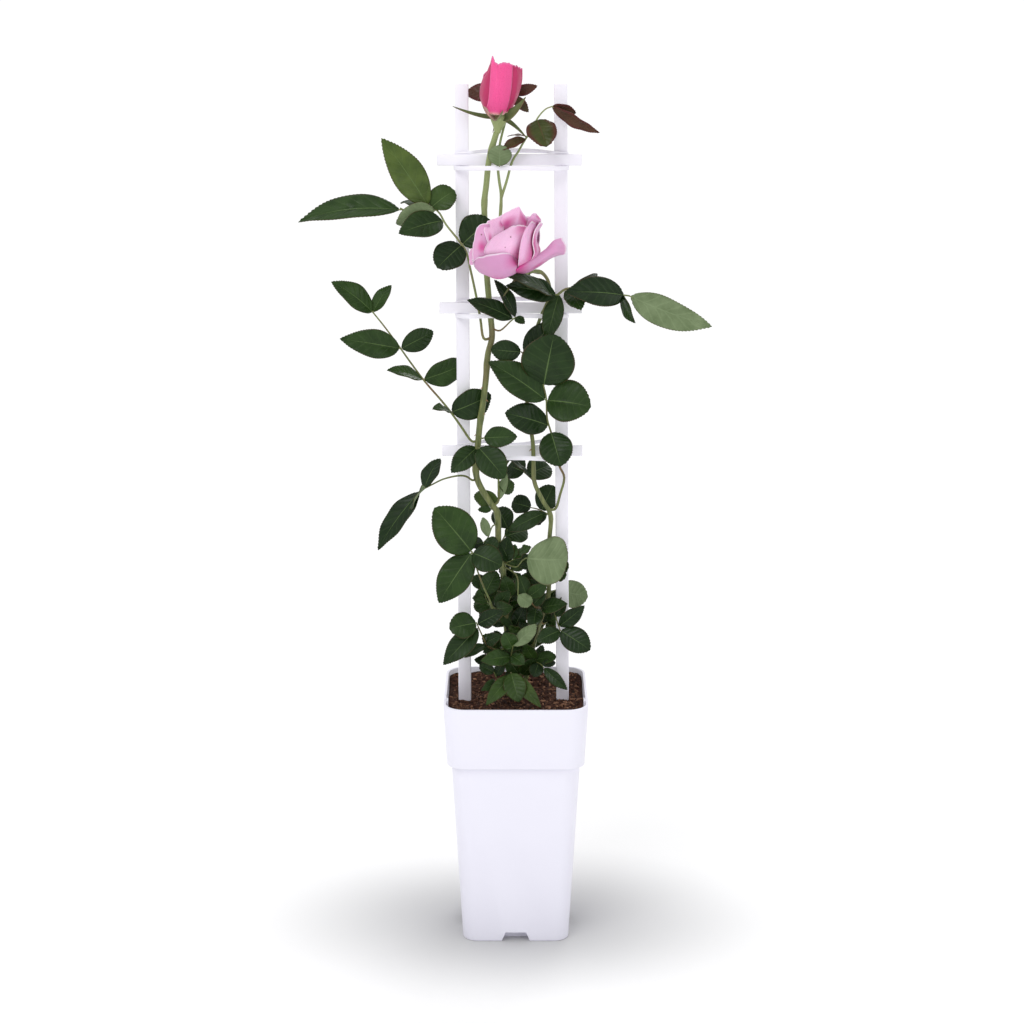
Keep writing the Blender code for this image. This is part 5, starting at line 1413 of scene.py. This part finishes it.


# %% The bloom's front petals
# Each is a tone, the reach of the painted shade at the root, a ruffle in millimetres, spots of painted shade,
# and rows of points in millimetres from root to rim.
BLOOM_NETS = {
    "lower_front": (0.2, 0.3, 0.5, ((0.75, 0.72, 0.7), (-0.5, 0.3, 0.5)), (
        ((-3, -50, 671), (-1, -52, 672), (2, -54, 673), (4, -52, 674), (5, -48, 675)),
        ((-26, -58, 671), (-17, -72, 669), (-7, -80, 673), (-1, -78, 678), (4, -66, 680)),
        ((-37, -54, 676), (-26, -74, 677), (-14, -86, 681), (-3, -84, 684), (3, -70, 682)),
        ((-41, -50, 684), (-30, -72, 690), (-16, -84, 694), (-6, -82, 693), (2, -72, 685)),
    )),
    "main_front": (1.0, 0.25, 0.5, ((0.42, 0.98, 0.75), (0.6, 0.3, 0.75), (0.75, 0.65, 0.5)), (
        ((-8, -50, 675), (-4, -56, 675), (-1, -60, 676), (2, -58, 676), (4, -52, 677)),
        ((-29, -62, 690), (-18, -76, 691), (-7, -81, 692), (3, -76, 693), (11, -62, 692)),
        ((-23, -60, 704), (-13, -73, 706), (-4, -78, 707), (5, -73, 707), (13, -60, 706)),
        ((-8, -56, 713), (-3, -60, 716), (2, -61, 717), (7, -58, 716), (12, -52, 714)),
    )),
    "right_front": (0.75, 0.35, 0.4, ((0.6, 0.6, 0.55), (0.3, 0.22, 0.9)), (
        ((2, -58, 675), (4, -58, 675), (6, -56, 676), (9, -50, 676)),
        ((2, -84, 685), (7, -84, 688), (13, -76, 689), (17, -62, 690)),
        ((4, -83, 702), (9, -82, 703), (13, -73, 704), (18, -58, 703)),
        ((8, -78, 714), (11, -76, 715), (15, -68, 714), (18, -56, 712)),
        ((15, -66, 721), (16, -63, 720), (17, -58, 719), (18, -52, 718)),
    )),
    "right_back": (0.6, 0.45, 0.4, ((-0.6, 0.45, 0.9), (0.8, 0.3, 0.7)), (
        ((6, -54, 675), (9, -50, 675), (11, -42, 675)),
        ((16, -76, 691), (19, -66, 690), (22, -48, 691)),
        ((15, -76, 703), (18, -66, 702), (19, -48, 702)),
        ((17, -72, 713), (19, -62, 712), (21, -46, 710)),
        ((22, -62, 720), (23, -54, 719), (25, -44, 717)),
    )),
    "rolled_peak": (0.55, 0.45, 0.8, ((0.6, 0.62, 0.5),), (
        ((9, -42, 702), (13, -44, 702), (18, -38, 701)),
        ((10, -50, 715), (16, -55, 717), (22, -48, 717)),
        ((11, -54, 721), (16, -58, 725), (23, -50, 720)),
        ((12, -50, 723), (17, -50, 727), (22, -46, 722)),
        ((13, -40, 721), (17, -38, 724), (20, -38, 721)),
    )),
    "top_back": (0.9, 0.5, 0.6, ((-0.5, 0.5, 0.75), (0.85, 0.65, 0.75)), (
        ((-8, -34, 689), (-2, -36, 689), (4, -36, 689), (9, -34, 689)),
        ((-13, -44, 710), (-6, -46, 712), (1, -47, 712), (9, -46, 711)),
        ((-15, -46, 718), (-8, -47, 721), (1, -48, 724), (4, -48, 724), (10, -47, 717)),
        ((-16, -43, 723), (-8, -44, 727.5), (0.5, -45, 732), (3, -45, 732.5), (5, -45, 729), (11, -44, 719)),
    )),
    "left_upper": (1.0, 0.35, 0.6, ((0.55, 0.5, 0.45), (-0.9, 0.7, 0.4)), (
        ((-4, -44, 680), (-5, -46, 680), (-6, -48, 680), (-6, -50, 679)),
        ((-10, -48, 703), (-16, -52, 702), (-20, -56, 699), (-22, -60, 693)),
        ((-12, -46, 716), (-19, -49, 715), (-25, -53, 711), (-27, -57, 703)),
        ((-13, -45, 724), (-20, -47, 722), (-27, -51, 719), (-30, -55, 712)),
    )),
    "left_lower": (0.45, 0.35, 0.6, ((0.3, 0.62, 0.5),), (
        ((-4, -44, 677), (-3, -48, 677), (-3, -50, 677), (-2, -52, 677), (-2, -54, 676)),
        ((-17, -44, 701), (-19, -50, 699), (-21, -56, 695), (-23, -60, 691), (-21, -62, 685)),
        ((-24, -50, 713), (-28, -54, 710), (-32, -58, 702), (-33, -62, 694), (-32, -62, 688)),
        ((-25, -54, 718), (-35, -54, 716), (-39, -56, 704), (-40, -57, 694), (-40, -56, 683)),
    )),
    "sliver": (0.6, 0.2, 0.3, (), (
        ((-29, -38, 689), (-29, -40, 686), (-29, -42, 682)),
        ((-39, -42, 693), (-39, -45, 687), (-39, -46, 679)),
        ((-42, -40, 694), (-44, -43, 687), (-43, -44, 678)),
    )),
    "flung_right": (0.3, 0.35, 0.5, ((-0.6, 0.4, 0.4),), (
        ((-5, -64, 674), (-3, -74, 676), (2, -78, 680), (3, -76, 683)),
        ((8, -56, 672), (9, -68, 677), (10, -76, 683), (10, -70, 687)),
        ((20, -50, 677), (20, -64, 682), (20, -66, 688), (21, -60, 691)),
        ((31, -46, 684), (30, -60, 688), (29, -60, 693), (28, -54, 695)),
        ((38, -44, 687), (39, -55, 691), (37, -56, 697), (35, -50, 702)),
        ((43, -42, 688), (46, -46, 690), (46, -47, 697), (42, -44, 704)),
    )),
}

# %% The bud's front petals
BUD_NETS = {
    "left": (0.15, 0.02, 0.2, (), (
        ((-29.5, -13, 819.5), (-28, -19, 818), (-24, -21, 817)),
        ((-33.5, -11, 832), (-30, -22, 832.5), (-22, -29, 832.5)),
        ((-31.5, -11, 846.5), (-27, -21, 847.5), (-20, -27, 848.5)),
        ((-26, -12, 855), (-23.5, -18, 863), (-21.5, -21, 869)),
    )),
    "front": (1.0, 0.06, 1.2, (), (
        ((-28.5, -23, 817), (-21, -29, 816), (-14, -29, 815.5), (-9.5, -25, 817)),
        ((-26, -33, 829), (-20, -38, 831), (-12.5, -37, 831.5), (-6, -32, 831)),
        ((-23.8, -32, 847), (-17.5, -36, 848), (-11, -35, 848), (-4, -29, 847.5)),
        ((-21.5, -22, 869), (-18, -26, 862), (-10.5, -27, 863.5), (-3.5, -24, 861.5)),
    )),
    "right": (0.15, 0.04, 1.8, (), (
        ((-10, -24, 817), (-6, -20, 818), (-4, -12, 820)),
        ((-7, -31, 831), (-1, -26, 831.5), (2, -12, 833)),
        ((-5, -28, 847.5), (1, -24, 847.5), (5.5, -11, 845.5)),
        ((-4, -23, 861), (1, -21, 859.5), (5.5, -13, 857)),
    )),
}

# %% Build the bloom and the bud; wrapped petals are (tone, reach of the painted shade at the root, shape); in the bud that reach is of the cream root colour
BLOOM_SPOT = Vector((6.5, -41, 675)) * MM
BLOOM_AXIS = Vector((-0.64, -0.22, 0.74)).normalized()
BLOOM_HEART = Vector((-0.22, -0.10, 0.97)).normalized()
BLOOM_WRAPPED = (
    (0.5, 1.4, (0, 8, -10, 31, 18)), (0.5, 1.4, (130, 10, -12, 31, 20)), (0.5, 1.4, (245, 12, -14, 30, 22)),
    (0.5, 1.2, (60, 24, -22, 34, 28)), (0.5, 1.2, (180, 24, -20, 34, 28)), (0.5, 1.2, (300, 20, -20, 31, 26)),
    (0.6, 0.8, (40, 36, -24, 38, 34)), (0.6, 0.8, (90, 40, -20, 46, 42)), (0.6, 0.8, (150, 42, -18, 42, 40)),
    (0.4, 0.6, (55, 62, -14, 50, 46)), (0.4, 0.6, (125, 66, -12, 52, 46)),
)
BUD_SPOT = Vector((-15.5, -13, 815)) * MM
BUD_AXIS = Vector((0.12, 0, 1)).normalized()
BUD_HEART = Vector((0.02, -0.02, 1)).normalized()
BUD_WRAPPED = (
    (0.2, 0.3, (0, 14, -16, 42, 20)), (0.2, 0.3, (120, 14, -16, 43, 20)), (0.2, 0.3, (240, 12, -14, 42, 20)),
    (0.3, 0.1, (30, 50, -20, 45, 40)), (0.2, 0.1, (90, 52, -20, 47, 44)), (0.4, 0.1, (142, 48, -22, 40, 36)),
)

add_flower("bloom_petals", BLOOM_SPOT, BLOOM_NETS, BLOOM_HEART, BLOOM_WRAPPED, BLOOM_SKIN)
add_flower("bud_petals", BUD_SPOT, BUD_NETS, BUD_HEART, BUD_WRAPPED, BUD_SKIN)

# %% [markdown]
# ### Hips and sepals
#
# Under the petals sits the green hip, a turned profile, and round it narrow sepals bend away.

# %% Hip profile spun round the axis, sepals as bent blades
SEPAL_THICKNESS = 0.5 * MM
SEPAL_TONE, PALE_SEPAL_TONE = 0.4, 1.0
HIP_OUTLINE = (  # distance from the axis and height, as shares of the hip's radius and height
    (0.02, 0.3), (0.7, 0.2), (0.95, 0.0), (1.0, -0.16), (0.93, -0.32), (0.76, -0.5), (0.55, -0.72),
    (0.42, -0.9),
)


def add_sepal(bm, route, width, tone):
    """A narrow pointed blade bent through three points."""
    forward, up, _ = blade_axes(route[0], route[2])
    across = forward.cross(up)

    def place(u, v, row):
        """A bent middle line, with a half width that ends in a point and a slight fold."""
        bend = route[0] * (1 - v) ** 2 + route[1] * 2 * v * (1 - v) + route[2] * v * v
        half = 0.12 * MM + width / 2 * min(1.0, 0.4 + 2 * v) * max(0.0, 1 - v) ** 0.7
        return bend + across * (u * half) + up * (abs(u) * half * 0.35)

    lay_grid(bm, 6, 16, place, tone)


def add_calyx(node, spot, axis, hip, sepals, pale_sepals=()):
    """Hip, sepals and, where some are still pale, those too, as one piece."""
    radius, height, neck = (size * MM for size in hip)
    bm = blade_bmesh()
    start = spot - axis * 2.2 * MM
    for tone, blades in ((SEPAL_TONE, sepals), (PALE_SEPAL_TONE, pale_sepals)):
        for middle, tip, width in blades:
            add_sepal(bm, [start, *in_metres([middle, tip])], width * MM, tone)
    calyx = thicken(node.replace("calyx", "hip"), bm, SEPAL_THICKNESS, [SEPAL_TOP, SEPAL_BACK, HIP_SKIN])
    bm = bmesh.new()
    profile = [(radius * out, height * down) for out, down in HIP_OUTLINE]
    profile += [(neck, -height), (neck * 0.92, -height - 1.5 * MM), (0.02 * radius, -height - 2 * MM)]
    line = [bm.verts.new((r, 0, z)) for r, z in profile]
    for a, b in zip(line, line[1:]):
        bm.edges.new((a, b))
    shape = bm.verts[:] + bm.edges[:]
    around, axle = 2 * math.pi, (0, 0, 1)
    bmesh.ops.spin(bm, geom=shape, cent=(0, 0, 0), axis=axle, angle=around, steps=24, use_merge=True)
    bmesh.ops.recalc_face_normals(bm, faces=bm.faces)
    bm.transform(Matrix.Translation(spot) @ axis.to_track_quat("Z", "Y").to_matrix().to_4x4())
    for face in bm.faces:
        face.material_index = 2
    bm.from_mesh(calyx.data)
    bm.to_mesh(calyx.data)
    bm.free()
    hand_over(calyx, [node])


SEPAL_TOP = leaf_top("sepal_top", ((0.09, 0.12, 0.04), (0.12, 0.15, 0.06), (0.55, 0.42, 0.36)),
                     (0.20, 0.09, 0.06), (0.2, 0.22, 0.1), 0.5)
SEPAL_BACK = leaf_back("sepal_back", (0.19, 0.23, 0.11), (0.24, 0.27, 0.15), (0.25, 0.14, 0.1), 0.6)
HIP_SKIN = stem_finish("hip_skin", (0.30, 0.33, 0.14), (0.24, 0.28, 0.11), (0.42, 0.25, 0.20), 0.5)
BLOOM_HIP, BUD_HIP = (6.5, 6, 1.8), (8.6, 15.5, 3.2)  # radius, height and neck, in millimetres
BLOOM_SEPALS = (((14, -30, 665), (18, -16, 653), 4), ((-4, -40, 661), (-12, -44, 649), 4),
                ((17, -6, 666), (24, 6, 664), 4))  # middle, tip and width of each
BUD_SEPALS = (((-34, -14, 812), (-59, -17, 823), 6), ((-3, -30, 812), (9, -28, 832), 14),
              ((-4, -16, 810), (10, -20, 794), 6), ((-18, 2, 810), (-22, 16, 797), 6))
BUD_PALE_SEPALS = (((-26, -31, 814), (-31, -31, 824), 13), ((-15, -33, 811), (-12, -34, 820), 11))
add_calyx("bloom_calyx", BLOOM_SPOT, BLOOM_AXIS, BLOOM_HIP, BLOOM_SEPALS)
add_calyx("bud_calyx", BUD_SPOT, BUD_AXIS, BUD_HIP, BUD_SEPALS, BUD_PALE_SEPALS)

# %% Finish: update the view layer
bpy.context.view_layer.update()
